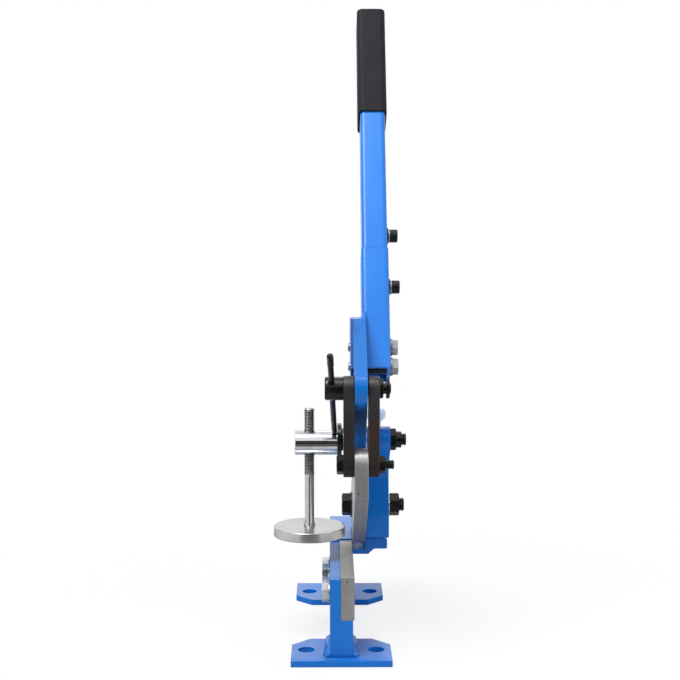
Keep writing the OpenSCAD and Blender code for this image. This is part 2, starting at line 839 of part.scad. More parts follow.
module upper_link_pin() {
    color("#26282b") difference() {
        union() {
            leftward(link_left_x - side, upper_pin) {
                cylinder(d = hub_d, h = hub_l - hub_bevel);
                translate([0, 0, hub_l - hub_bevel])
                    cylinder(d1 = hub_d, d2 = hub_d - hub_bevel, h = hub_bevel);
            }
            rightward(link_left_x - side - over, upper_pin)
                cylinder(d = m16_d, h = link_end_x - link_left_x + side + over - seat);
            rightward(link_end_x - over, upper_pin) bar(m12_d, upper_pin_end - link_end_x + over);
        }
        lock_line() translate([0, 0, -hub_d]) cylinder(d = lock_d + 2 * lock_room, h = 2 * hub_d);
    }
}

module upper_link_nuts() {
    color("#26282b") for (x = [link_end_x + side, link_end_x + side + thin_nut_h + thin_nut_gap])
        rightward(x, upper_pin) nut(m12_af, m12_d, thin_nut_h);
}

module lock_rod() {
    color("#26282b") lock_line() {
        translate([0, 0, -lock_reach]) cylinder(d = lock_d, h = lock_reach + lock_rise - lock_head_d / 2);
        translate([0, 0, lock_rise - lock_head_l])
            cylinder(d = lock_head_d, h = lock_head_l - lock_head_d / 2);
        translate([0, 0, lock_rise - lock_head_d / 2]) sphere(d = lock_head_d);
    }
}

// One link, from x to the right
module link(x) {
    difference() {
        slab(x, link_t) {
            translate(lower_pin) circle(d = link_w);
            translate(upper_pin) circle(d = link_w);
            translate(lower_pin - [link_w / 2, 0]) square([link_w, link_centres]);
        }
        rightward(x - over, upper_pin) cylinder(d = m16_d + 2 * run, h = link_t + 2 * over);
        rightward(x - over, lower_pin) cylinder(d = link_bolt_d + 2 * seat, h = link_t + 2 * over);
    }
}

module link_left() {
    color("#3c3a3a") link(link_left_x);
}

module link_right() {
    color("#3c3a3a") link(link_gap_x);
}

module lower_link_bolt() {
    color("#26282b") {
        leftward(link_left_x - seat, lower_pin) hex_body(m12_af, link_head_h);
        rightward(link_left_x - seat - over, lower_pin)
            cylinder(d = link_bolt_d, h = link_end_x - link_left_x + over);
        rightward(link_end_x - over, lower_pin) bar(m10_d, link_nut_h + link_bolt_tail + over);
    }
}

module lower_link_nut() {
    color("#26282b") rightward(link_end_x + seat, lower_pin) nut(m10_af, m10_d, link_nut_h);
}

frame();
front_foot();
rear_foot();
stop_post();
lower_blade();
lower_blade_bolts();
lower_blade_washers();
upper_blade();
blade_pivot_bolt();
blade_head_washer();
blade_shim();
blade_nut_washer();
blade_pivot_nut();
lever_pivot_stud();
lever_pivot_flange();
lever_pivot_sleeve();
lever_shim();
lever_pivot_nut();
hold_down_arm();
hold_down_screw();
hold_down_disc();
lever_plate();
lower_tube();
handle_tube();
tube_joiner();
cap_screws();
cap_screw_washers();
cap_screw_lock_washers();
lever_bolts();
lever_bolt_washers();
lever_bolt_sleeves();
grip();
upper_link_pin();
upper_link_nuts();
lock_rod();
link_left();
link_right();
lower_link_bolt();
lower_link_nut();
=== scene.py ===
"""Dresses the bench lever shear for its pictures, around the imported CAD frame.

Everything is in metres in the part's own frame: +X is to the right of someone who faces the mouth,
+Y runs away from them, +Z is up, and the origin is the middle of the four foot holes.
"""

import json
import logging
import math
from collections.abc import Callable, Sequence
from dataclasses import dataclass, replace
from enum import Enum

import bmesh
import bpy
from bmesh.types import BMesh, BMFace
from bpy.types import Material, Mesh, Node, NodeTree, Object
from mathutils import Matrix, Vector, noise

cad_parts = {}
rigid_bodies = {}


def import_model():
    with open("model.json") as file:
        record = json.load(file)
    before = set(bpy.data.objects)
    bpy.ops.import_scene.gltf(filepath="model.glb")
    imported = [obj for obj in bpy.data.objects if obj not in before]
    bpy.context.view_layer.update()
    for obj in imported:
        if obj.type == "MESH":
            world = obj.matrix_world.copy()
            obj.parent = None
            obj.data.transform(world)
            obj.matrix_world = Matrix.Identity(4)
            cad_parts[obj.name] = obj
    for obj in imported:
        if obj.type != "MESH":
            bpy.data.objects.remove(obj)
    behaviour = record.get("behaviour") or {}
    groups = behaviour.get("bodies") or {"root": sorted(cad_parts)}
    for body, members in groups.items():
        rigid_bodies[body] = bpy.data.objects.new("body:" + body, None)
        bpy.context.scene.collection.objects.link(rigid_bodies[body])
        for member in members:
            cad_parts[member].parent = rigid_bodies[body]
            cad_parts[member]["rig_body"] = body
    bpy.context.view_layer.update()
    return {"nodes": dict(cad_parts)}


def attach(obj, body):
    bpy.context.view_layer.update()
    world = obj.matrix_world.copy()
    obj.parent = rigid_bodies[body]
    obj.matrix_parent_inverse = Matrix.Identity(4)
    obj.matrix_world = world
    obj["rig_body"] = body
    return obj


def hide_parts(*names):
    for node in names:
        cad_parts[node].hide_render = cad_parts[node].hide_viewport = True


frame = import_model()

LOG = logging.getLogger("shear")
MM = 0.001

# Angles of edges that are rounded, that mark a fold, and that part the shading of each kind of piece.
SHARP_ANGLE = math.radians(34)
FOLD_ANGLE = math.radians(150)
COPIED_CORNER = math.radians(50)
TURNED_CORNER = math.radians(32)

# Copies of CAD meshes: gaps that count as none, faces that lie level, and what keeps an area from
# being a wide flat one: too little width, or too much of its rim turning gently.
MERGE_GAP = 0.002 * MM
SAW_GAP = 0.0001 * MM
LEVEL_ANGLE = math.radians(0.4)
FLAT_ANGLE = math.radians(0.5)
GENTLE_ANGLE = math.radians(13)
NARROWEST = 1.5 * MM
GENTLE_SHARE = 0.45

# Shares of a copy's volume and area that rounding may leave, and of the width that are tried in turn.
LEAST_VOLUME = 0.9
LEAST_AREA = 0.85
MOST_GROWTH = 1.0005
ROUNDING_TRIES = (1.0, 0.6, 0.3, 0.0)

# Widths of the rounding on small black pieces, on small zinc pieces and on bars, tubes and blades.
BLACK_EDGE = 0.3 * MM
ZINC_EDGE = 0.25 * MM
BAR_EDGE = 0.5 * MM

# Turned pieces: sides of a ring, rings in a turn of thread and in its run-out, the slope of a groove's
# flank, and how much less deep than long a chamfer is. Then the shares of a hexagon's width that its
# far face and the corners of its seat reach from the middle.
SIDES = 60
ANGLES = [2 * math.pi * i / SIDES for i in range(SIDES)]
RINGS_PER_TURN = 8
RUN_OUT = 6
GROOVE_FLANK = 2.6
CHAMFER_STEEPER = 0.1 * MM
CROWN_REACH = 0.47
SEAT_REACH = 0.56

# The range that most of a noise texture's values lie in.
NOISE_LOW = 0.3
NOISE_HIGH = 0.7

NUMBER = "NodeSocketFloat"
VECTOR = "NodeSocketVector"
WHITE = (1.0, 1.0, 1.0, 1.0)

Colour = tuple[float, float, float, float]
Point = tuple[float, float, float]
Profile = tuple[tuple[float, float], ...]
Rings = list[list[Vector]]
Socket = bpy.types.NodeSocket
Input = Socket | float | tuple[float, ...]
Inputs = dict[str | int, Input]


class Slot(Enum):
    """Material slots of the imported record."""

    PAINT = "blue_paint"
    BLADE = "blade_steel"
    BRIGHT = "bright_steel"
    CHROME = "chrome"
    ZINC = "zinc"
    BLACK = "black_oxide"
    LINK = "link_steel"
    RUBBER = "grip_rubber"


class Axis(Enum):
    """Directions that a turned piece can lie along."""

    RIGHT = (1, 0, 0)
    UP = (0, 0, 1)


def srgb(red: int, green: int, blue: int) -> Colour:
    """Turns an 8-bit display colour into the linear colour that a shader takes."""

    def linear(value: int) -> float:
        """Turns one channel."""
        share = value / 255
        return share / 12.92 if share <= 0.04045 else ((share + 0.055) / 1.055) ** 2.4

    return (linear(red), linear(green), linear(blue), 1.0)


def mm(*values: float) -> tuple[float, ...]:
    """Turns millimetres into metres."""
    return tuple(value * MM for value in values)


def stations(*pairs: tuple[float, float]) -> Profile:
    """Turns a turned piece's places and radii from millimetres into metres."""
    return tuple(mm(*pair) for pair in pairs)


def body_of(node: str) -> str:
    """Gives the body that a CAD node moves with."""
    return frame["nodes"][node]["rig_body"]


def shown(name: str, data: bpy.types.ID) -> Object:
    """Makes an object and links it to the scene."""
    item = bpy.data.objects.new(name, data)
    bpy.context.scene.collection.objects.link(item)
    return item


def aim(item: Object, place: Point, target: Point, axis: str) -> None:
    """Puts an object in its place, with one of its axes towards a point."""
    item.location = place
    item.rotation_euler = (Vector(target) - Vector(place)).to_track_quat(axis, "Y").to_euler()


class Graph:
    """Adds and joins nodes in one shader tree."""

    def __init__(self, tree: NodeTree) -> None:
        """Takes the tree that the nodes go into."""
        self.tree = tree

    def feed(self, socket: Socket, value: Input) -> None:
        """Links a socket to the input, or sets the input's own value."""
        if isinstance(value, Socket):
            self.tree.links.new(value, socket)
        else:
            socket.default_value = value

    def fill(self, node: Node, inputs: Inputs) -> None:
        """Feeds several inputs of a node, by their names or numbers."""
        for name, value in inputs.items():
            self.feed(node.inputs[name], value)

    def add(self, kind: str, inputs: Inputs | None = None, **settings: object) -> Node:
        """Makes a node.

        Args:
            kind: The node's type name, without its "ShaderNode" stem.
            inputs: Values or sockets by the input's name or number.
            settings: Plain attributes of the node.

        Returns:
            The new node.
        """
        node = self.tree.nodes.new("ShaderNode" + kind)
        for name, value in settings.items():
            setattr(node, name, value)
        self.fill(node, inputs or {})
        return node

    def group(self, tree: NodeTree, **inputs: Input) -> dict[str, Socket]:
        """Places a shared effect and gives its outputs by name.

        Args:
            tree: The effect's group.
            inputs: Values or sockets by the input's name, with underscores for spaces.

        Returns:
            The effect's output sockets.
        """
        spaced = {name.replace("_", " "): value for name, value in inputs.items()}
        node = self.add("Group", spaced, node_tree=tree)
        return {socket.name: socket for socket in node.outputs}

    def maths(self, operation: str, a: Input, b: Input, clamp: bool = False) -> Socket:
        """Gives the result of one sum on two values."""
        return self.add("Math", {0: a, 1: b}, operation=operation, use_clamp=clamp).outputs[0]

    def times(self, a: Input, b: Input, clamp: bool = False) -> Socket:
        """Gives the product of two values."""
        return self.maths("MULTIPLY", a, b, clamp)

    def vectors(self, operation: str, a: Input, b: Input = (0, 0, 0)) -> Socket:
        """Gives the result of one sum on vectors, which is a number for a length or a dot product."""
        node = self.add("VectorMath", {0: a, 1: b}, operation=operation)
        return node.outputs["Value" if operation in ("LENGTH", "DISTANCE", "DOT_PRODUCT") else "Vector"]

    def mixed(self, share: Input, a: Input, b: Input) -> Socket:
        """Gives a colour between a and b."""
        node = self.add("Mix", data_type="RGBA")
        sockets = {socket.identifier: socket for socket in (*node.inputs, *node.outputs)}
        for name, value in (("Factor_Float", share), ("A_Color", a), ("B_Color", b)):
            self.feed(sockets[name], value)
        return sockets["Result_Color"]

    def spread(self, value: Input, low: float, high: float, to_low: float = 0, to_high: float = 1) -> Socket:
        """Maps a value's range to another one, smoothly and clamped."""
        ends = {"Value": value, "From Min": low, "From Max": high, "To Min": to_low, "To Max": to_high}
        return self.add("MapRange", ends, interpolation_type="SMOOTHSTEP").outputs["Result"]

    def ranged(self, value: Input, to_low: float = 0.0, to_high: float = 1.0) -> Socket:
        """Maps the range that most of a noise lies in to another one."""
        return self.spread(value, NOISE_LOW, NOISE_HIGH, to_low, to_high)

    def place(self) -> Socket:
        """Gives the point on the piece, in its own metres."""
        return self.add("TexCoord").outputs["Object"]

    def part(self, source: str, axis: str) -> Socket:
        """Gives one part of the point on the piece ("Object") or of its direction ("Normal")."""
        return self.add("SeparateXYZ", {0: self.add("TexCoord").outputs[source]}).outputs[axis]

    def noise(self, scale: Input, detail: float = 3.0, rough: float = 0.55) -> Socket:
        """Gives a noise value over the surface."""
        inputs = {"Vector": self.place(), "Scale": scale, "Detail": detail, "Roughness": rough}
        return self.add("TexNoise", inputs).outputs["Fac"]

    def bump(self, height: Input, strength: float, depth: float, under: Socket | None = None) -> Socket:
        """Turns a height into a normal.

        Args:
            height: The height, from 0 to 1.
            strength: How strongly it shows.
            depth: What a height of 1 stands for, in metres.
            under: The normal that it lies on, or None for the piece's own.

        Returns:
            The normal.
        """
        node = self.add("Bump", {"Height": height, "Strength": strength, "Distance": depth})
        if under is not None:
            self.feed(node.inputs["Normal"], under)
        return node.outputs["Normal"]


def blank(name: str) -> tuple[Material, Graph, Node]:
    """Makes a material, and gives it with a graph on it and its Principled shader."""
    material = bpy.data.materials.new(name)
    material.use_nodes = True
    return material, Graph(material.node_tree), material.node_tree.nodes["Principled BSDF"]


class Effect(Graph):
    """A shader group in the making, with its inputs in `given` and its outputs in `out`."""

    def __init__(self, name: str, given: dict[str, float | Point], gives: dict[str, str]) -> None:
        """Starts the group.

        Args:
            name: Name of the group.
            given: Default value of each input, by name.
            gives: Socket type of each output, by name.
        """
        super().__init__(bpy.data.node_groups.new(name, "ShaderNodeTree"))
        for label, default in given.items():
            kind = VECTOR if isinstance(default, tuple) else NUMBER
            item = self.tree.interface.new_socket(label, in_out="INPUT", socket_type=kind)
            item.default_value = default
        for label, kind in gives.items():
            self.tree.interface.new_socket(label, in_out="OUTPUT", socket_type=kind)
        self.given = self.tree.nodes.new("NodeGroupInput").outputs
        self.out = self.tree.nodes.new("NodeGroupOutput").inputs


class Effects:
    """Shader groups that several finishes share, each made once."""

    def __init__(self) -> None:
        """Makes the groups."""
        self.edges = self._edges()
        self.mottle = self._mottle()
        self.streaks = self._streaks()
        self.rings = self._rings()
        self.dust = self._dust()

    @staticmethod
    def _edges() -> NodeTree:
        """Masks the corners of a piece, broken up by noise."""
        given = {"Width": 0.001, "Breakup": 300.0, "Amount": 1.0}
        g = Effect("corner_wear", given, {"Mask": NUMBER, "Rounded": VECTOR})
        rounded = g.add("Bevel", {"Radius": g.given["Width"]}, samples=6).outputs[0]
        alike = g.vectors("DOT_PRODUCT", rounded, g.add("NewGeometry").outputs["Normal"])
        corner = g.spread(g.maths("SUBTRACT", 1.0, alike), 0.01, 0.16)
        patchy = g.spread(g.noise(g.given["Breakup"], 4.0, 0.6), 0.42, 0.62)
        g.feed(g.out["Mask"], g.times(g.times(corner, patchy), g.given["Amount"], True))
        g.feed(g.out["Rounded"], rounded)
        return g.tree

    @staticmethod
    def _mottle() -> NodeTree:
        """Puts out broad cloudiness and a fine grain."""
        g = Effect("mottle", {"Broad Scale": 14.0, "Fine Scale": 700.0}, {"Broad": NUMBER, "Fine": NUMBER})
        g.feed(g.out["Broad"], g.noise(g.given["Broad Scale"], 3.0, 0.5))
        g.feed(g.out["Fine"], g.noise(g.given["Fine Scale"], 2.0, 0.5))
        return g.tree

    @staticmethod
    def _streaks() -> NodeTree:
        """Puts out long grinding lines and broader bands, stretched along one direction."""
        given = {"Stretch": (30.0, 1500.0, 1500.0), "Seed": 0.0}
        g = Effect("grinding_lines", given, {"Lines": NUMBER, "Bands": NUMBER})
        scaled = g.vectors("MULTIPLY", g.place(), g.given["Stretch"])
        for name, scale, detail in (("Lines", 1.0, 3.0), ("Bands", 0.17, 2.0)):
            inputs = {"Vector": scaled, "W": g.given["Seed"], "Scale": scale, "Detail": detail}
            g.feed(g.out[name], g.add("TexNoise", inputs, noise_dimensions="4D").outputs["Fac"])
        return g.tree

    @staticmethod
    def _rings() -> NodeTree:
        """Puts out the lathe's rings, by the distance from an upright axis and the height along it."""
        g = Effect("lathe_rings", {"Centre": (0.0, 0.0, 0.0), "Fineness": 1500.0}, {"Lines": NUMBER})
        offset = g.vectors("SUBTRACT", g.place(), g.given["Centre"])
        flat = g.vectors("MULTIPLY", offset, (1, 1, 0))
        radius = g.vectors("LENGTH", flat)
        rise = g.vectors("LENGTH", g.vectors("SUBTRACT", offset, flat))
        step = g.times(g.maths("ADD", radius, rise), g.given["Fineness"])
        line = g.add("TexNoise", {"W": step, "Scale": 1.0, "Detail": 2.0}, noise_dimensions="1D")
        g.feed(g.out["Lines"], line.outputs["Fac"])
        return g.tree

    @staticmethod
    def _dust() -> NodeTree:
        """Masks closed-in inner corners by their occlusion: for dusting and oil that gather there, and for
        painted shade, since shade falls there.
        """
        g = Effect("corner_dust", {"Reach": 0.006, "Amount": 1.0}, {"Mask": NUMBER})
        open_share = g.add("AmbientOcclusion", {"Distance": g.given["Reach"]}, samples=6).outputs["AO"]
        cloud = g.ranged(g.noise(90.0), 0.55, 1.0)
        closed = g.spread(open_share, 0.35, 0.95, 1.0, 0.0)
        g.feed(g.out["Mask"], g.times(g.times(closed, cloud), g.given["Amount"], True))
        return g.tree


@dataclass(frozen=True)
class Finish:
    """A surface finish, made into one material the first time that it is used."""

    slot: Slot
    label: str
    metallic: float = 0.0
    specular: float = 0.5

    def make(self, effects: Effects) -> Material:
        """Builds the finish's material."""
        material, g, shader = blank(self.label)
        g.fill(shader, {"Metallic": self.metallic, "Specular IOR Level": self.specular})
        g.fill(shader, self.look(g, effects))
        return material

    def look(self, g: Graph, effects: Effects) -> Inputs:
        """Builds the finish's own nodes.

        Args:
            g: A graph on the material.
            effects: The shared groups.

        Returns:
            What goes into the shader, by the input's name.
        """
        raise NotImplementedError


@dataclass(frozen=True)
class Enamel(Finish):
    """Sprayed gloss enamel with a slight orange peel, thin and chipped on corners, darkened in inner corners
    for dusting and as painted shade, and paled on upward faces for a haze and as painted sheen.
    """

    slot: Slot = Slot.PAINT
    label: str = "blue_enamel"
    specular: float = 0.42
    coat: float = 0.16
    coat_rough: float = 0.1
    gloss: float = 0.27
    body: Colour = srgb(0, 114, 211)
    pale: Colour = srgb(3, 120, 219)
    bare: Colour = srgb(132, 156, 184)
    chip: float = 0.3
    # Inner corners: a darker blue by how closed in they are, partly a rougher dusting, partly painted shade.
    dust: Colour = srgb(30, 76, 124)
    dust_and_shade_reach: float = 7 * MM
    dust_and_shade_share: float = 0.3
    dust_rough: float = 0.25
    # Pale patches on upward faces: partly a rougher haze, partly painted sheen for the glare of the light
    # from above.
    pale_film_and_sheen: Colour = srgb(150, 166, 184)
    film_and_sheen_share: float = 0.24
    film_start: float = -1.0
    film_edge: float = 35 * MM
    film_rough: float = 0.4
    scuffed: Colour = srgb(44, 74, 116)
    scuffs: tuple[Point, ...] = ()

    def film_and_sheen_mask(self, g: Graph, grain: Socket) -> Socket:
        """Masks the pale patches on upward faces: a dusting haze, and painted sheen where the light from
        above falls.
        """
        lying = g.times(g.spread(g.part("Normal", "Z"), 0.75, 0.98), g.spread(grain, 0.2, 0.8, 0.7, 1.0))
        patches = g.spread(g.noise(34.0, 4.0, 0.62), 0.36, 0.64, 0.5, 1.4)
        behind = g.spread(g.part("Object", "Y"), self.film_start, self.film_start + self.film_edge)
        return g.times(g.times(lying, patches), g.times(behind, self.film_and_sheen_share))

    def scuff(self, g: Graph) -> Socket:
        """Masks the scuffed spots on the front, each given by its X, its Z and its reach."""
        patchy = g.spread(g.noise(420.0, 4.0, 0.6), 0.4, 0.6, 0.25, 0.8)
        facing = g.spread(g.times(g.part("Normal", "Y"), -1.0), 0.4, 0.8)
        flat = g.vectors("MULTIPLY", g.place(), (1, 0, 1))
        spots = 0.0
        for x, z, reach in self.scuffs:
            away = g.vectors("DISTANCE", flat, (x, 0, z))
            spots = g.maths("MAXIMUM", g.spread(away, reach * 0.4, reach, 1.0, 0.0), spots)
        return g.times(g.times(spots, patchy), facing)

    def look(self, g: Graph, effects: Effects) -> Inputs:
        """Builds the cloudy blue with its inner-corner dusting and painted shade, its pale haze and painted
        sheen on upward faces, its thin corners and its scuffs.
        """
        cloud = g.group(effects.mottle, Broad_Scale=11.0, Fine_Scale=520.0)
        corners = g.group(effects.edges, Width=0.9 * MM, Breakup=260.0, Amount=self.chip)
        dust_and_shade_mask = g.group(effects.dust, Reach=self.dust_and_shade_reach, Amount=self.dust_and_shade_share)["Mask"]
        film_and_sheen_mask = self.film_and_sheen_mask(g, cloud["Fine"])
        tone = g.mixed(g.ranged(cloud["Broad"]), self.body, self.pale)
        tone = g.mixed(dust_and_shade_mask, tone, self.dust)
        tone = g.mixed(film_and_sheen_mask, tone, self.pale_film_and_sheen)
        tone = g.mixed(corners["Mask"], tone, self.bare)
        if self.scuffs:
            tone = g.mixed(self.scuff(g), tone, self.scuffed)
        rough = g.ranged(cloud["Broad"], self.gloss - 0.04, self.gloss + 0.05)
        rough = g.maths("ADD", rough, g.times(film_and_sheen_mask, self.film_rough), True)
        return {
            "Base Color": tone,
            "Roughness": g.maths("ADD", rough, g.times(dust_and_shade_mask, self.dust_rough), True),
            "Normal": g.bump(cloud["Fine"], 0.16, 0.12 * MM, corners["Rounded"]),
            "Coat Weight": self.coat,
            "Coat Roughness": self.coat_rough,
        }


@dataclass(frozen=True)
class GroundSteel(Finish):
    """Bare steel with grinding lines along one direction and faint brown staining."""

    slot: Slot = Slot.BLADE
    label: str = "ground_steel"
    metallic: float = 0.6
    rough: float = 0.36
    steel: Colour = srgb(160, 159, 160)
    stain: Colour = srgb(126, 115, 109)
    stain_share: float = 0.32
    band: Colour = srgb(104, 104, 104)
    band_share: float = 0.18
    rubbed: Colour = srgb(205, 205, 203)
    rubbed_share: float = 0.6
    stretch: Point = (1600.0, 60.0, 60.0)
    seed: float = 0.0
    punch: Colour = srgb(38, 36, 36)
    punches: tuple[Point, ...] = ()
    punch_radius: float = 1.0 * MM

    def look(self, g: Graph, effects: Effects) -> Inputs:
        """Builds the ground steel with its stains, its bright corners and its punch marks."""
        cloud = g.group(effects.mottle, Broad_Scale=26.0, Fine_Scale=900.0)
        lines = g.group(effects.streaks, Stretch=self.stretch, Seed=self.seed)
        corners = g.group(effects.edges, Width=0.5 * MM, Breakup=420.0, Amount=0.8)
        tone = g.mixed(g.spread(cloud["Broad"], 0.35, 0.75, 0.0, self.stain_share), self.steel, self.stain)
        tone = g.mixed(g.spread(lines["Bands"], 0.35, 0.7, 0.0, self.band_share), tone, self.band)
        tone = g.mixed(g.times(corners["Mask"], self.rubbed_share), tone, self.rubbed)
        for spot in self.punches:
            away = g.vectors("DISTANCE", g.place(), spot)
            pit = g.spread(away, self.punch_radius * 0.6, self.punch_radius * 1.4, 0.85, 0.0)
            tone = g.mixed(pit, tone, self.punch)
        return {
            "Base Color": tone,
            "Roughness": g.spread(lines["Lines"], 0.3, 0.75, self.rough - 0.08, self.rough + 0.12),
            "Normal": g.bump(lines["Lines"], 0.35, 0.05 * MM, corners["Rounded"]),
        }


@dataclass(frozen=True)
class TurnedSteel(Finish):
    """Bright steel from the lathe, with rings round the piece's axis."""

    slot: Slot = Slot.BRIGHT
    label: str = "turned_steel"
    metallic: float = 0.92
    rough: float = 0.26
    steel: Colour = srgb(192, 192, 193)
    stain: Colour = srgb(150, 146, 143)
    centre: Point = (0.0, 0.0, 0.0)
    # Near black in closed-in grooves, by their occlusion, where shade falls.
    groove_dark: Colour = srgb(26, 24, 23)
    groove_darkening: float = 0.0

    def look(self, g: Graph, effects: Effects) -> Inputs:
        """Builds the turned steel, darkened towards near black in its closed-in grooves where it has a
        darkening.
        """
        cloud = g.group(effects.mottle, Broad_Scale=34.0, Fine_Scale=900.0)
        rings = g.group(effects.rings, Centre=self.centre)
        tone = g.mixed(g.spread(cloud["Broad"], 0.4, 0.75, 0.0, 0.4), self.steel, self.stain)
        if self.groove_darkening:
            darkened_grooves = g.group(effects.dust, Reach=1.2 * MM, Amount=self.groove_darkening)["Mask"]
            tone = g.mixed(darkened_grooves, tone, self.groove_dark)
        return {
            "Base Color": tone,
            "Roughness": g.ranged(rings["Lines"], self.rough - 0.06, self.rough + 0.08),
            "Normal": g.bump(rings["Lines"], 0.3, 0.04 * MM),
        }


@dataclass(frozen=True)
class Plated(Finish):
    """Plated steel: chrome when smooth, zinc when cloudy."""

    slot: Slot = Slot.CHROME
    label: str = "chrome_plate"
    metallic: float = 1.0
    metal: Colour = srgb(222, 224, 228)
    cloud: Colour = srgb(196, 198, 202)
    rough: float = 0.09
    clouding: float = 0.06
    # Darker grey in closed-in inner corners, by their occlusion, where shade falls.
    dust: Colour = srgb(96, 92, 88)

    def look(self, g: Graph, effects: Effects) -> Inputs:
        """Builds the plating, darker in its closed-in inner corners."""
        cloud = g.group(effects.mottle, Broad_Scale=60.0, Fine_Scale=1100.0)
        dust_and_shade_mask = g.group(effects.dust, Reach=3 * MM, Amount=0.4)["Mask"]
        tone = g.mixed(g.spread(cloud["Broad"], 0.35, 0.7), self.metal, self.cloud)
        return {
            "Base Color": g.mixed(dust_and_shade_mask, tone, self.dust),
            "Roughness": g.ranged(cloud["Broad"], self.rough, self.rough + self.clouding),
            "Normal": g.bump(cloud["Fine"], 0.1, 0.02 * MM),
        }


@dataclass(frozen=True)
class BlackOxide(Finish):
    """Oiled black oxide on steel, rubbed to brown metal on corners."""

    slot: Slot = Slot.BLACK
    label: str = "black_oxide"
    metallic: float = 0.25
    rough: float = 0.25
    black: Colour = srgb(9, 9, 11)
    rubbed: Colour = srgb(74, 68, 64)
    wear: float = 0.6

    def look(self, g: Graph, effects: Effects) -> Inputs:
        """Builds the black oxide with its rubbed corners."""
        cloud = g.group(effects.mottle, Broad_Scale=70.0, Fine_Scale=1200.0)
        corners = g.group(effects.edges, Width=0.5 * MM, Breakup=520.0, Amount=self.wear)
        tone = g.mixed(g.spread(cloud["Broad"], 0.45, 0.75, 0.0, 0.08), self.black, self.rubbed)
        return {
            "Base Color": g.mixed(corners["Mask"], tone, self.rubbed),
            "Roughness": g.ranged(cloud["Broad"], self.rough - 0.05, self.rough + 0.1),
            "Normal": g.bump(cloud["Fine"], 0.2, 0.05 * MM, corners["Rounded"]),
        }


@dataclass(frozen=True)
class ScaledSteel(Finish):
    """Hot-rolled steel with mill scale that has gone brown in patches, most of all low down."""

    slot: Slot = Slot.LINK
    label: str = "scaled_steel"
    metallic: float = 0.35
    rough: float = 0.4
    scale: Colour = srgb(53, 52, 52)
    brown: Colour = srgb(42, 28, 21)
    brown_share: float = 0.6
    foot: Colour = srgb(28, 24, 23)
    worn: Colour = srgb(112, 104, 98)
    clean_above: float = 290 * MM
    brown_below: float = 250 * MM
    foot_below: float = 208 * MM
    foot_edge: float = 22 * MM

    def look(self, g: Graph, effects: Effects) -> Inputs:
        """Builds the mill scale with its brown patches, its dark foot and its worn corners."""
        cloud = g.group(effects.mottle, Broad_Scale=38.0, Fine_Scale=650.0)
        corners = g.group(effects.edges, Width=1 * MM, Breakup=300.0, Amount=0.5)
        height = g.part("Object", "Z")
        low = g.spread(height, self.brown_below, self.clean_above, 1.0, 0.1)
        patches = g.times(g.spread(cloud["Broad"], 0.3, 0.55, 0.35, 1.0), low)
        lowest = g.spread(height, self.foot_below, self.foot_below + self.foot_edge, 0.85, 0.0)
        tone = g.mixed(g.times(patches, self.brown_share), self.scale, self.brown)
        tone = g.mixed(lowest, tone, self.foot)
        return {
            "Base Color": g.mixed(corners["Mask"], tone, self.worn),
            "Roughness": g.ranged(cloud["Broad"], self.rough - 0.06, self.rough + 0.14),
            "Normal": g.bump(cloud["Fine"], 0.35, 0.1 * MM, corners["Rounded"]),
        }


@dataclass(frozen=True)
class Rubber(Finish):
    """Dipped soft rubber with a fine leathery grain."""

    slot: Slot = Slot.RUBBER
    label: str = "dark_rubber"
    specular: float = 0.12
    dark: Colour = srgb(25, 25, 31)
    bloom: Colour = srgb(32, 32, 39)

    def look(self, g: Graph, effects: Effects) -> Inputs:
        """Builds the rubber out of small cells and a fine grain."""
        cloud = g.group(effects.mottle, Broad_Scale=20.0, Fine_Scale=1500.0)
        cells = g.add("TexVoronoi", {"Vector": g.place(), "Scale": 900.0}, feature="F1").outputs["Distance"]
        height = g.maths("ADD", g.times(cells, 0.7), g.times(cloud["Fine"], 0.5))
        return {
            "Base Color": g.mixed(g.ranged(cloud["Broad"]), self.dark, self.bloom),
            "Roughness": g.ranged(cloud["Fine"], 0.5, 0.66),
            "Normal": g.bump(height, 0.3, 0.15 * MM),
        }


BLACK = BlackOxide()
ZINC = Plated(
    Slot.ZINC, "zinc_plate", 0.92,
    metal=srgb(226, 229, 232), cloud=srgb(198, 202, 206), rough=0.12, clouding=0.12,
)
DULL_ZINC = Plated(
    Slot.ZINC, "dull_zinc", 0.88,
    metal=srgb(172, 175, 180), cloud=srgb(136, 139, 144), rough=0.24, clouding=0.14,
)


@dataclass(frozen=True)
class Thread:
    """A screw thread between two places on a turned piece, and the chamfered tip beyond it."""

    start: float
    end: float
    radius: float
    pitch: float
    depth: float
    tip: float
    chamfer: float

    def radius_at(self, along: float, angle: float, fade: float) -> float:
        """Gives the radius at a place and an angle, where the groove has faded to a share of its depth."""
        turn = (along / self.pitch - angle / (2 * math.pi)) % 1.0
        groove = max(0.0, 1 - abs(turn - 0.5) * GROOVE_FLANK)
        return self.radius - self.depth * groove * fade


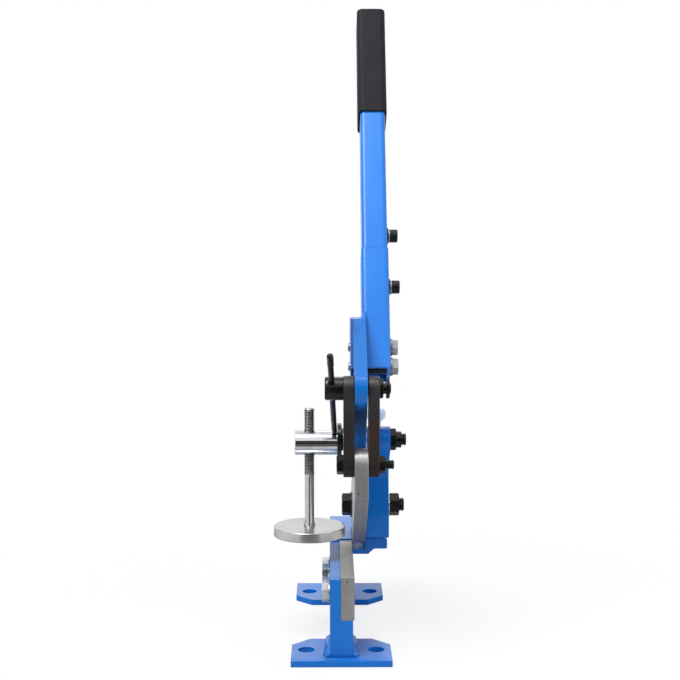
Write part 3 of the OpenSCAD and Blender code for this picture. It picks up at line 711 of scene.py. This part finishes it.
class Turning:
    """Makes turned pieces with true helical threads, along any axis."""

    def __init__(self, origin: Point, axis: Axis) -> None:
        """Takes the point and direction that the piece is turned about."""
        self.origin = Vector(origin)
        self.ahead = Vector(axis.value)
        self.side = Vector((0, 1, 0))
        self.up = self.ahead.cross(self.side)

    def point(self, along: float, radius: float, angle: float) -> Vector:
        """Gives the point at a place along the axis, at a radius and an angle."""
        centre = self.origin + self.ahead * along
        return centre + self.side * (radius * math.cos(angle)) + self.up * (radius * math.sin(angle))

    def ring(self, along: float, radius: Callable[[float], float]) -> list[Vector]:
        """Gives one ring, whose radius depends on the angle."""
        return [self.point(along, radius(angle), angle) for angle in ANGLES]

    def profile(self, profile: Profile) -> Rings:
        """Gives round rings for pairs of place and radius."""
        return [self.ring(along, lambda angle: radius) for along, radius in profile]

    def thread(self, thread: Thread) -> Rings:
        """Gives the rings of a helical thread with tapering run-outs, and of its tip."""
        length = thread.end - thread.start
        steps = round(length / thread.pitch * RINGS_PER_TURN)
        rings = []
        for k in range(steps + 1):
            along = thread.start + length * k / steps
            fade = min(1.0, min(k, steps - k) / RUN_OUT)
            rings.append(self.ring(along, lambda angle: thread.radius_at(along, angle, fade)))
        narrowed = thread.radius - thread.chamfer + CHAMFER_STEEPER
        return rings + self.profile(((thread.tip - thread.chamfer, thread.radius), (thread.tip, narrowed)))

    def hexagon(self, seat: float, height: float, flats: float) -> Rings:
        """Gives the rings of a hexagonal head behind its seat, with its far corners turned off.

        Args:
            seat: Place of the flat seat.
            height: Height of the head.
            flats: Width across the flats.

        Returns:
            Rings from the far face to the seat.
        """

        def corner(angle: float) -> float:
            """Gives the hexagon's radius at an angle."""
            turned = (angle + math.pi / 6) % (math.pi / 3) - math.pi / 6
            return flats / 2 / math.cos(turned)

        crown = flats * CROWN_REACH
        shoulder = [self.point(seat - (height - (corner(a) - crown) * 0.5), corner(a), a) for a in ANGLES]
        face = self.profile(((seat - height, crown * 0.985), (seat - height * 0.995, crown * 1.005)))
        rim = self.ring(seat - height * 0.06, corner)
        return [*face, shoulder, rim, self.ring(seat, lambda angle: min(corner(angle), flats * SEAT_REACH))]


@dataclass(frozen=True)
class Bolt:
    """A hexagonal bolt along X: its place, its head, its shank from the seat on, and its thread."""

    place: Point
    head_height: float
    head_flats: float
    shank: Profile
    thread: Thread

    def rings(self) -> Rings:
        """Gives the rings from the head's far face to the thread's tip."""
        lathe = Turning(self.place, Axis.RIGHT)
        head = lathe.hexagon(self.shank[0][0], self.head_height, self.head_flats)
        return head + lathe.profile(self.shank) + lathe.thread(self.thread)


@dataclass(frozen=True)
class Weld:
    """A fillet weld along the foot of a plate, with the ripples that the torch leaves."""

    start: Point
    end: Point
    away: float
    leg: float = 7.8 * MM
    far_leg: float = 4.2 * MM
    pitch: float = 3.1 * MM
    ripple: float = 0.7 * MM
    wander: float = 0.45 * MM
    hollow: float = 0.17
    buried: float = 0.3 * MM
    steps: int = 7
    points: int = 9

    def size(self, along: float, length: float) -> float:
        """Gives the weld's size at a place along it, with its ripple, its wander and its round ends."""
        share = (along / self.pitch) % 1.0
        swell = self.ripple * (1 - share) * min(1.0, share * 6)
        wander = noise.noise(Vector((along * 120, self.start[1] * 50, self.away))) * self.wander
        near = max(0.02, min(1.0, along / self.leg, (length - along) / self.leg))
        leg = self.leg + (self.far_leg - self.leg) * along / length
        return (leg + swell + wander) * math.sqrt(1 - (1 - near) ** 2)

    def section(self, size: float) -> list[tuple[float, float]]:
        """Gives the corners of one section, as pairs of distance from the plate and height."""
        spots = [(-self.buried, -self.buried), (size, -self.buried)]
        for i in range(self.points):
            angle = math.pi / 2 * i / (self.points - 1)
            reach = size * (1 - self.hollow * math.sin(2 * angle))
            spots.append((reach * math.cos(angle), reach * math.sin(angle)))
        return [*spots, (-self.buried, size)]

    def rings(self) -> Rings:
        """Gives the weld's sections from its start to its end."""
        start, end = Vector(self.start), Vector(self.end)
        length = (end - start).length
        count = math.ceil(length / self.pitch * self.steps)
        rings = []
        for k in range(count + 1):
            centre = start.lerp(end, k / count)
            spots = self.section(self.size(length * k / count, length))
            rings.append([centre + Vector((self.away * out, 0, up)) for out, up in spots])
        return rings


@dataclass(frozen=True)
class Cut:
    """A flat saw cut: a point on it, and the side that falls off."""

    point: Point
    ahead: Point


class Copy:
    """A CAD node's mesh, copied to be sawn and rounded."""

    def __init__(self, node: str, cuts: Sequence[Cut]) -> None:
        """Copies the mesh with its flat faces whole, and makes the cuts."""
        self.bm = bmesh.new()
        self.bm.from_mesh(frame["nodes"][node].data)
        bmesh.ops.remove_doubles(self.bm, verts=self.bm.verts, dist=MERGE_GAP)
        bmesh.ops.dissolve_limit(self.bm, angle_limit=LEVEL_ANGLE, verts=self.bm.verts, edges=self.bm.edges)
        large = [face for face in self.bm.faces if len(face.verts) > 4]
        bmesh.ops.triangulate(self.bm, faces=large, ngon_method="BEAUTY")
        bmesh.ops.recalc_face_normals(self.bm, faces=self.bm.faces)
        for cut in cuts:
            self.saw(cut)

    def saw(self, cut: Cut) -> None:
        """Saws off what lies ahead of a flat cut, and closes the face that it leaves."""
        geom = [*self.bm.verts, *self.bm.edges, *self.bm.faces]
        plane = {"plane_co": cut.point, "plane_no": cut.ahead, "dist": SAW_GAP, "clear_outer": True}
        bmesh.ops.bisect_plane(self.bm, geom=geom, **plane)
        bmesh.ops.holes_fill(self.bm, edges=[edge for edge in self.bm.edges if edge.is_boundary])
        bmesh.ops.recalc_face_normals(self.bm, faces=self.bm.faces)

    def measure(self) -> tuple[float, float, int]:
        """Gives the volume, the area and the number of edges where the mesh folds back on itself."""
        turns = [edge.calc_face_angle(0) for edge in self.bm.edges if len(edge.link_faces) == 2]
        area = sum(face.calc_area() for face in self.bm.faces)
        return self.bm.calc_volume(), area, sum(turn > FOLD_ANGLE for turn in turns)

    def round_corners(self, width: float, segments: int) -> bool:
        """Rounds the sharp corners.

        Args:
            width: Width of the rounding, in metres.
            segments: Faces across it.

        Returns:
            Whether the mesh stayed whole: a little smaller, and nowhere folded.
        """
        volume, area, folds = self.measure()
        sharp = [e for e in self.bm.edges if len(e.link_faces) == 2 and e.calc_face_angle() > SHARP_ANGLE]
        shape = {"offset_type": "OFFSET", "profile": 0.5, "affect": "EDGES", "clamp_overlap": False}
        bmesh.ops.bevel(self.bm, geom=sharp, offset=width, segments=segments, **shape)
        new_volume, new_area, new_folds = self.measure()
        whole = LEAST_VOLUME < new_volume / volume < MOST_GROWTH and new_folds <= folds
        return whole and LEAST_AREA < new_area / area < MOST_GROWTH

    @staticmethod
    def level_area(first: BMFace, seen: set[BMFace]) -> tuple[list[BMFace], bool]:
        """Gathers the faces that lie level with a first one.

        Args:
            first: The face to start from.
            seen: The faces gathered so far, which the new ones join.

        Returns:
            The faces, and whether they make a wide flat area, and not a strip or a part of a curve.
        """
        seen.add(first)
        faces, stack = [], [first]
        area = rim = gentle = 0.0
        while stack:
            face = stack.pop()
            faces.append(face)
            area += face.calc_area()
            for edge in face.edges:
                turn = edge.calc_face_angle(math.pi) if len(edge.link_faces) == 2 else math.pi
                if turn < FLAT_ANGLE:
                    beyond = [other for other in edge.link_faces if other not in seen]
                    seen.update(beyond)
                    stack.extend(beyond)
                    continue
                rim += edge.calc_length()
                if turn < GENTLE_ANGLE:
                    gentle += edge.calc_length()
        return faces, rim > 0 and 2 * area / rim > NARROWEST and gentle / rim < GENTLE_SHARE

    def curved(self) -> list[bool]:
        """Says for each face whether it is part of a curve or a narrow strip."""
        seen = set()
        for first in self.bm.faces:
            if first not in seen:
                faces, flat = self.level_area(first, seen)
                for face in faces:
                    face.smooth = not flat
        return [face.smooth for face in self.bm.faces]


class Bench:
    """Finishes pieces and puts them on their bodies."""

    def __init__(self) -> None:
        """Makes the shared effects, and starts with no materials and no pieces."""
        self.effects = Effects()
        self.made: dict[Finish, Material] = {}
        self.count = 0

    def paint(self, mesh: Mesh, finish: Finish) -> None:
        """Gives a mesh its finish, whose material is built once, and counts the piece."""
        if finish not in self.made:
            self.made[finish] = finish.make(self.effects)
        mesh.materials.clear()
        mesh.materials.append(self.made[finish])
        self.count += 1

    def fit(self, piece: Object, finish: Finish, body: str, *nodes: str) -> None:
        """Gives a new piece its finish and body, and lets it stand for CAD nodes."""
        self.paint(piece.data, finish)
        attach(piece, body)
        if nodes:
            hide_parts(*nodes)
        LOG.info("%s rides on %s and stands for %s", piece.name, body, nodes or "nothing")

    def coat(self, node: str, finish: Finish) -> None:
        """Gives a CAD node that stays in view its finish."""
        self.paint(frame["nodes"][node].data, finish)
        LOG.info("%s keeps its CAD form in %s", node, finish.label)

    @staticmethod
    def piece(name: str, bm: BMesh, smooth: Sequence[bool], corner: float) -> Object:
        """Makes an object whose shading parts at its corners, so that the finish sees each side alone.

        Args:
            name: Name of the piece.
            bm: Its mesh, which is used up.
            smooth: For each face, whether it is shaded smooth.
            corner: Angle over which an edge is a corner.

        Returns:
            The new object.
        """
        mesh = bpy.data.meshes.new(name)
        bm.to_mesh(mesh)
        bm.free()
        if "custom_normal" in mesh.attributes:
            mesh.attributes.remove(mesh.attributes["custom_normal"])
        mesh.set_sharp_from_angle(angle=corner)
        mesh.polygons.foreach_set("use_smooth", smooth)
        piece = shown(name, mesh)
        piece.modifiers.new("marked_corners", "EDGE_SPLIT").use_edge_angle = False
        return piece

    def build(self, name: str, rings: Rings, finish: Finish, body: str, *nodes: str) -> None:
        """Makes a closed piece from rings with the same number of points, and fits it to its body."""
        bm = bmesh.new()
        loops = [[bm.verts.new(point) for point in ring] for ring in rings]
        for low, high in zip(loops, loops[1:]):
            for i in range(len(low)):
                j = (i + 1) % len(low)
                bm.faces.new((low[i], low[j], high[j], high[i]))
        bm.faces.new(list(reversed(loops[0])))
        bm.faces.new(loops[-1])
        bmesh.ops.recalc_face_normals(bm, faces=bm.faces)
        self.fit(self.piece(name, bm, [True] * len(bm.faces), TURNED_CORNER), finish, body, *nodes)

    def turn(self, node: str, rings: Rings, finish: Finish) -> None:
        """Makes the turned piece that stands for one CAD node."""
        self.build(node + "_turned", rings, finish, body_of(node), node)

    def soften(
        self, node: str, finish: Finish, width: float,
        segments: int = 2, name: str = "", cuts: Sequence[Cut] = (),
    ) -> None:
        """Copies a CAD node with its corners rounded off, and lets the copy stand for it.

        Args:
            node: The CAD node.
            finish: The copy's finish.
            width: Width of the rounding, in metres.
            segments: Faces across the rounding.
            name: Name of the copy, when it isn't the node's with "_dressed" behind it.
            cuts: Flat cuts that take something off the copy first.
        """
        name = name or node + "_dressed"
        for share in ROUNDING_TRIES:
            copy = Copy(node, cuts)
            if not share or copy.round_corners(width * share, segments):
                break
            copy.bm.free()
        LOG.info("%s has its corners rounded by %.2f mm", name, width * share / MM)
        piece = self.piece(name, copy.bm, copy.curved(), COPIED_CORNER)
        weighted = piece.modifiers.new("even_shading", "WEIGHTED_NORMAL")
        weighted.keep_sharp = True
        weighted.weight = 90
        self.fit(piece, finish, body_of(node), node)

    def soften_all(self, finish: Finish, width: float, *nodes: str) -> None:
        """Rounds several CAD nodes alike."""
        for node in nodes:
            self.soften(node, finish, width)


@dataclass(frozen=True)
class Lamp:
    """An area lamp: its place, its size in metres and its power in watts."""

    name: str
    place: Point
    size: float
    power: float


@dataclass(frozen=True)
class Card:
    """A plain grey card that only metal and gloss see. It faces the part, or lies on the floor."""

    name: str
    place: Point
    width: float
    height: float
    shade: float = 0.02
    lies: bool = False


@dataclass
class Studio:
    """The camera, the lamps, the white background and the pale floor."""

    lens: float = 66.38
    sensor: float = 36.0
    place: Point = (-0.0140, -1.4734, 0.4697)
    tilt_deg: float = 3.628
    turn: float = -0.0092
    shift: float = -0.0441
    floor_size: float = 6.0
    floor_drop: float = 0.2 * MM
    floor_shade: float = 0.86
    least_white: float = 0.8
    fade: tuple[float, float] = (0.1, 0.6)
    fill: float = 0.31
    aimed_at: Point = (0.0, 0.0, 0.36)
    lamps: tuple[Lamp, ...] = (
        Lamp("key_lamp", (-0.6, -0.62, 2.0), 1.1, 39.0),
        Lamp("right_lamp", (1.5, -0.7, 0.9), 0.9, 8.5),
        Lamp("back_lamp", (0.5, 1.5, 1.4), 1.0, 9.0),
    )
    cards: tuple[Card, ...] = (
        Card("camera_card", (0.0, -1.9, 0.56), 1.15, 1.1),
        Card("right_card", (1.4, 0.55, 0.5), 0.6, 1.6),
        Card("left_card", (-1.4, 0.55, 0.5), 0.6, 1.6),
        Card("near_card", (0.0, 0.0, -0.1 * MM), 0.9, 0.9, 0.5, lies=True),
        Card("front_card", (0.0, -1.2, -0.1 * MM), 0.6, 1.5, 0.06, lies=True),
    )

    def camera(self) -> None:
        """Stands the camera where the photograph was taken from."""
        data = bpy.data.cameras.new("photo_camera")
        data.lens = self.lens
        data.sensor_width = self.sensor
        data.shift_y = self.shift
        camera = shown("photo_camera", data)
        camera.location = self.place
        camera.rotation_euler = (math.pi / 2 - math.radians(self.tilt_deg), 0.0, self.turn)
        bpy.context.scene.camera = camera

    def light(self) -> None:
        """Hangs the lamps and lights the world."""
        for lamp in self.lamps:
            data = bpy.data.lights.new(lamp.name, "AREA")
            data.size = lamp.size
            data.energy = lamp.power
            aim(shown(lamp.name, data), lamp.place, self.aimed_at, "-Z")
        world = bpy.data.worlds.new("white_room")
        world.use_nodes = True
        bpy.context.scene.world = world
        g = Graph(world.node_tree)
        strength = g.spread(self.seen(g), 0.0, 1.0, self.fill, 1.0)
        g.fill(world.node_tree.nodes["Background"], {"Color": WHITE, "Strength": strength})

    @staticmethod
    def seen(g: Graph) -> Socket:
        """Gives 1 for the rays that show the background, straight or in metal."""
        rays = g.add("LightPath").outputs
        straight = g.maths("MAXIMUM", rays["Is Camera Ray"], rays["Is Glossy Ray"])
        return g.maths("MAXIMUM", straight, rays["Is Transmission Ray"])

    @staticmethod
    def sheet(name: str, width: float, height: float, look: Inputs) -> tuple[Object, Graph]:
        """Makes a flat sheet of the stage, with a material of its own.

        Args:
            name: Name of the sheet and its material.
            width: Its size along its own X.
            height: Its size along its own Y.
            look: Its shader's inputs by name.

        Returns:
            The sheet, still to be placed, and a graph on its material.
        """
        x, y = width / 2, height / 2
        mesh = bpy.data.meshes.new(name)
        mesh.from_pydata([(-x, -y, 0), (x, -y, 0), (x, y, 0), (-x, y, 0)], [], [(0, 1, 2, 3)])
        material, g, shader = blank(name)
        g.fill(shader, look)
        mesh.materials.append(material)
        sheet = shown(name, mesh)
        return sheet, g

    def darken(self) -> None:
        """Stands black cards round the part and lays grey ones on the floor, as a studio's own dark."""
        for card in self.cards:
            look = {"Base Color": (card.shade, card.shade, card.shade, 1.0), "Roughness": 0.9}
            sheet = self.sheet(card.name, card.width, card.height, look)[0]
            for ray in ("camera", "diffuse", "shadow", "transmission"):
                setattr(sheet, "visible_" + ray, False)
            sheet.location = card.place
            if not card.lies:
                aim(sheet, card.place, (0.0, 0.0, card.place[2]), "Z")

    def floor(self) -> None:
        """Lays the pale floor, which fades to white away from the part."""
        tone = (self.floor_shade, self.floor_shade, self.floor_shade, 1.0)
        look = {"Base Color": tone, "Roughness": 0.8, "Specular IOR Level": 0.1}
        floor, g = self.sheet("pale_floor", self.floor_size, self.floor_size, look)
        floor.location = (0.0, 0.0, -self.floor_drop)
        nodes = g.tree.nodes
        white = g.add("Emission", {"Color": WHITE, "Strength": 1.0}).outputs[0]
        white_share = g.spread(g.vectors("LENGTH", g.place()), *self.fade, self.least_white, 1.0)
        share = g.times(white_share, self.seen(g))
        blend = g.add("MixShader", {0: share, 1: nodes["Principled BSDF"].outputs[0], 2: white})
        g.feed(nodes["Material Output"].inputs["Surface"], blend.outputs[0])

    def build(self) -> None:
        """Sets up the whole studio."""
        bpy.context.scene.view_settings.view_transform = "Standard"
        self.camera()
        self.light()
        self.darken()
        self.floor()


@dataclass
class Assembly:
    """A sub-assembly, whose pieces are finished on the bench."""

    bench: Bench

    def build(self) -> None:
        """Dresses the sub-assembly."""
        raise NotImplementedError


@dataclass
class Frame(Assembly):
    """The welded frame with its feet and the round-headed post."""

    # The frame's blue is a darker copy of the tube's blue paint, as painted shade.
    paint: Finish = Enamel(
        label="frame_enamel", body=srgb(0, 108, 200), pale=srgb(2, 114, 208),
        film_and_sheen_share=0.46, specular=0.27, coat=0.08,
    )
    foot_paint: Finish = replace(paint, label="front_foot_enamel", film_and_sheen_share=0.42, film_start=-157 * MM)
    # Painted highlight: the stop post has the same blue paint, drawn pale as if washed out by bright light.
    pale: Finish = Enamel(label="painted_highlight_enamel", body=srgb(192, 215, 246), pale=srgb(205, 223, 248), chip=0.1)
    frame_edge: float = 1.0 * MM
    foot_edge: float = 0.6 * MM
    plate_side: float = 12.5 * MM
    foot_top: float = 7 * MM
    front_weld: tuple[float, float] = mm(-139, -77)
    rear_weld: tuple[float, float] = mm(77, 145)

    def weld(self) -> None:
        """Lays the rippled fillet welds that hold the plate on its feet."""
        for place, (near, far) in (("front", self.front_weld), ("rear", self.rear_weld)):
            for side, away in (("left", -1.0), ("right", 1.0)):
                x = away * self.plate_side
                weld = Weld((x, near, self.foot_top), (x, far, self.foot_top), away)
                self.bench.build(f"{place}_{side}_weld", weld.rings(), self.paint, body_of(place + "_foot"))

    def build(self) -> None:
        """Dresses the frame."""
        self.bench.soften("frame", self.paint, self.frame_edge, name="frame_weldment")
        self.bench.soften("front_foot", self.foot_paint, self.foot_edge, name="front_foot_plate")
        self.bench.soften("rear_foot", self.paint, self.foot_edge, name="rear_foot_plate")
        self.bench.soften("stop_post", self.pale, self.frame_edge, name="stop_post_knob")
        self.weld()


@dataclass
class Blades(Assembly):
    """Both blades, the clamp bolts and the blade pivot."""

    upper: Finish = GroundSteel(
        label="upper_blade_steel", punches=(mm(17, -131.3, 229), mm(18.2, -138, 186.2))
    )
    lower: Finish = GroundSteel(label="lower_blade_steel", seed=3.0, punches=(mm(6.2, -140, 90.6),))
    pivot_bolt: Bolt = Bolt(
        place=mm(0, 44, 135),
        head_height=10 * MM,
        head_flats=24 * MM,
        shank=stations((12.08, 8), (49.9, 8)),
        thread=Thread(*mm(50, 76.5, 8, 2, 1.15, 78, 1.2)),
    )

    def build(self) -> None:
        """Dresses the blades and their fasteners."""
        self.bench.soften("upper_blade", self.upper, BAR_EDGE, name="upper_blade_plate")
        self.bench.soften("lower_blade", self.lower, BAR_EDGE, name="lower_blade_bar")
        self.bench.soften_all(
            ZINC, ZINC_EDGE, "lower_blade_bolts", "lower_blade_washers", "blade_nut_washer", "blade_shim"
        )
        self.bench.soften_all(BLACK, BLACK_EDGE, "blade_head_washer", "blade_pivot_nut")
        self.bench.turn("blade_pivot_bolt", self.pivot_bolt.rings(), BLACK)


@dataclass
class Linkage(Assembly):
    """The two links, their pins and the lock rod."""

    left: Finish = ScaledSteel(label="left_link_scale", brown=srgb(38, 28, 22), brown_share=0.85)
    right: Finish = ScaledSteel(label="right_link_scale", brown=srgb(56, 38, 28), brown_share=0.95)
    link_edge: float = 1.2 * MM
    lower_bolt: Bolt = Bolt(
        place=mm(0, -120, 215),
        head_height=7.5 * MM,
        head_flats=19 * MM,
        shank=stations((2.08, 6.5), (41.28, 6.5), (41.28, 5)),
        thread=Thread(*mm(41.6, 56.2, 5, 1.5, 0.85, 57.3, 0.9)),
    )

    def build(self) -> None:
        """Dresses the links. The lower bolt's thread is thinner than its shank."""
        self.bench.soften("link_left", self.left, self.link_edge, 3, "left_link_bar")
        self.bench.soften("link_right", self.right, self.link_edge, 3, "right_link_bar")
        self.bench.soften_all(BLACK, BLACK_EDGE, "upper_link_pin", "upper_link_nuts", "lower_link_nut")
        self.bench.coat("lock_rod", BLACK)
        self.bench.turn("lower_link_bolt", self.lower_bolt.rings(), BLACK)


@dataclass
class Lever(Assembly):
    """The lever plate, the two tubes, their screws and the grip."""

    paint: Finish = Enamel(label="tube_enamel", gloss=0.34)
    # Painted shade: the plate's inner-corner darkening reaches 34 mm and turns it near-black blue deep
    # between the links, where shade falls. Its body is a darker copy of the blue paint, also as painted
    # shade.
    plate: Finish = Enamel(
        label="lever_plate_enamel", body=srgb(0, 104, 190), pale=srgb(2, 110, 198), chip=0.8,
        dust=srgb(4, 34, 74), dust_and_shade_reach=34 * MM, dust_and_shade_share=0.8, specular=0.34, coat=0.12,
        scuffs=(mm(15.9, 359.5, 6.5), mm(13.2, 365, 4)),
    )
    rubber: Finish = Rubber()
    plate_edge: float = 1.0 * MM
    grip_edge: float = 1.2 * MM
    tip_cut: Cut = Cut(mm(0, 0, 370), (0.0, 0.0, 1.0))
    tongue_cuts: tuple[Cut, ...] = (
        Cut(mm(0, 0, 369.8), (0.0, 0.0, -1.0)),
        Cut(mm(24.3, 0, 0), (-1.0, 0.0, 0.0)),
    )

    def build(self) -> None:
        """Dresses the lever. The plate's strip above its tip stays, and closes the gap in the tube."""
        self.bench.soften("lever_plate", self.plate, self.plate_edge, 3, cuts=[self.tip_cut])
        self.bench.soften("lever_plate", self.paint, 0.0, name="lever_plate_tongue", cuts=self.tongue_cuts)
        self.bench.soften_all(self.paint, BAR_EDGE, "lower_tube", "handle_tube")
        self.bench.soften("grip", self.rubber, self.grip_edge, 3, "grip_sleeve")
        self.bench.soften_all(
            BLACK, BLACK_EDGE, "cap_screws", "cap_screw_washers", "lever_bolt_sleeves", "tube_joiner"
        )
        self.bench.soften_all(
            DULL_ZINC, ZINC_EDGE, "cap_screw_lock_washers", "lever_bolts", "lever_bolt_washers"
        )


@dataclass
class HoldDown(Assembly):
    """The lever pivot with its arm, and the hold-down screw and disc."""

    chrome: Finish = Plated()
    disc_steel: Finish = TurnedSteel(centre=mm(-36.22, -35, 120), rough=0.2)
    shank_steel: Finish = TurnedSteel(label="shank_steel", centre=mm(-36.22, -35, 0), rough=0.11)
    thread_steel: Finish = TurnedSteel(
        label="thread_steel", steel=srgb(160, 158, 156), stain=srgb(104, 99, 95),
        centre=mm(-36.22, -35, 0), rough=0.3, groove_darkening=0.9,
    )
    disc_edge: float = 0.8 * MM
    shim_edge: float = 0.2 * MM
    pivot: Point = mm(0, -35, 228.5)
    stud: Profile = stations((-17.92, 6.4), (-17.32, 7), (-3.91, 7), (-3.9, 8), (57, 8), (57, 7))
    stud_thread: Thread = Thread(*mm(57.2, 74.2, 7, 2, 1.05, 75.5, 1.1))
    screw_foot: Point = mm(-36.22, -35, 127.7)
    foot: Profile = stations(
        (-6, 3.6), (-5.6, 4), (0.08, 4), (0.1, 6.5), (0.5, 6.75),
        (1.8, 6.5), (3.2, 5.9), (4.4, 5.6), (5.6, 5.5),
    )
    neck: Profile = stations((59.4, 5.5), (59.9, 5.95), (60.9, 5.95), (61.2, 5.1))
    thread_root: Profile = stations((60.8, 4.8), (61.4, 5.1))
    screw_thread: Thread = Thread(*mm(61.4, 135.6, 6, 1.75, 0.95, 137, 1))

    def build(self) -> None:
        """Dresses the hold-down and the lever pivot."""
        self.bench.soften("hold_down_arm", self.chrome, BAR_EDGE, name="hold_down_arm_bar")
        self.bench.soften("hold_down_disc", self.disc_steel, self.disc_edge, 3)
        self.bench.soften_all(
            BLACK, BLACK_EDGE, "lever_pivot_flange", "lever_pivot_sleeve", "lever_pivot_nut"
        )
        self.bench.soften("lever_shim", ZINC, self.shim_edge)
        self.turn_stud()
        self.turn_screw()

    def turn_stud(self) -> None:
        """Turns the lever pivot stud, which steps down to the arm and to its thread."""
        lathe = Turning(self.pivot, Axis.RIGHT)
        self.bench.turn("lever_pivot_stud", lathe.profile(self.stud) + lathe.thread(self.stud_thread), BLACK)

    def turn_screw(self) -> None:
        """Turns the hold-down screw: a bright shank with a flared foot, and its dark thread."""
        lathe = Turning(self.screw_foot, Axis.UP)
        shank = lathe.profile(self.foot + self.neck)
        thread = lathe.profile(self.thread_root) + lathe.thread(self.screw_thread)
        node, body = "hold_down_screw", body_of("hold_down_screw")
        self.bench.build("hold_down_shank", shank, self.shank_steel, body, node)
        self.bench.build("hold_down_thread", thread, self.thread_steel, body, node)


def main() -> None:
    """Builds the studio and every sub-assembly."""
    logging.basicConfig(level=logging.INFO, format="%(name)s: %(message)s")
    Studio().build()
    bench = Bench()
    for assembly in (Frame, Blades, Linkage, Lever, HoldDown):
        assembly(bench).build()
    LOG.info("%d pieces dressed", bench.count)
    bpy.context.view_layer.update()


if __name__ == "__main__":
    main()
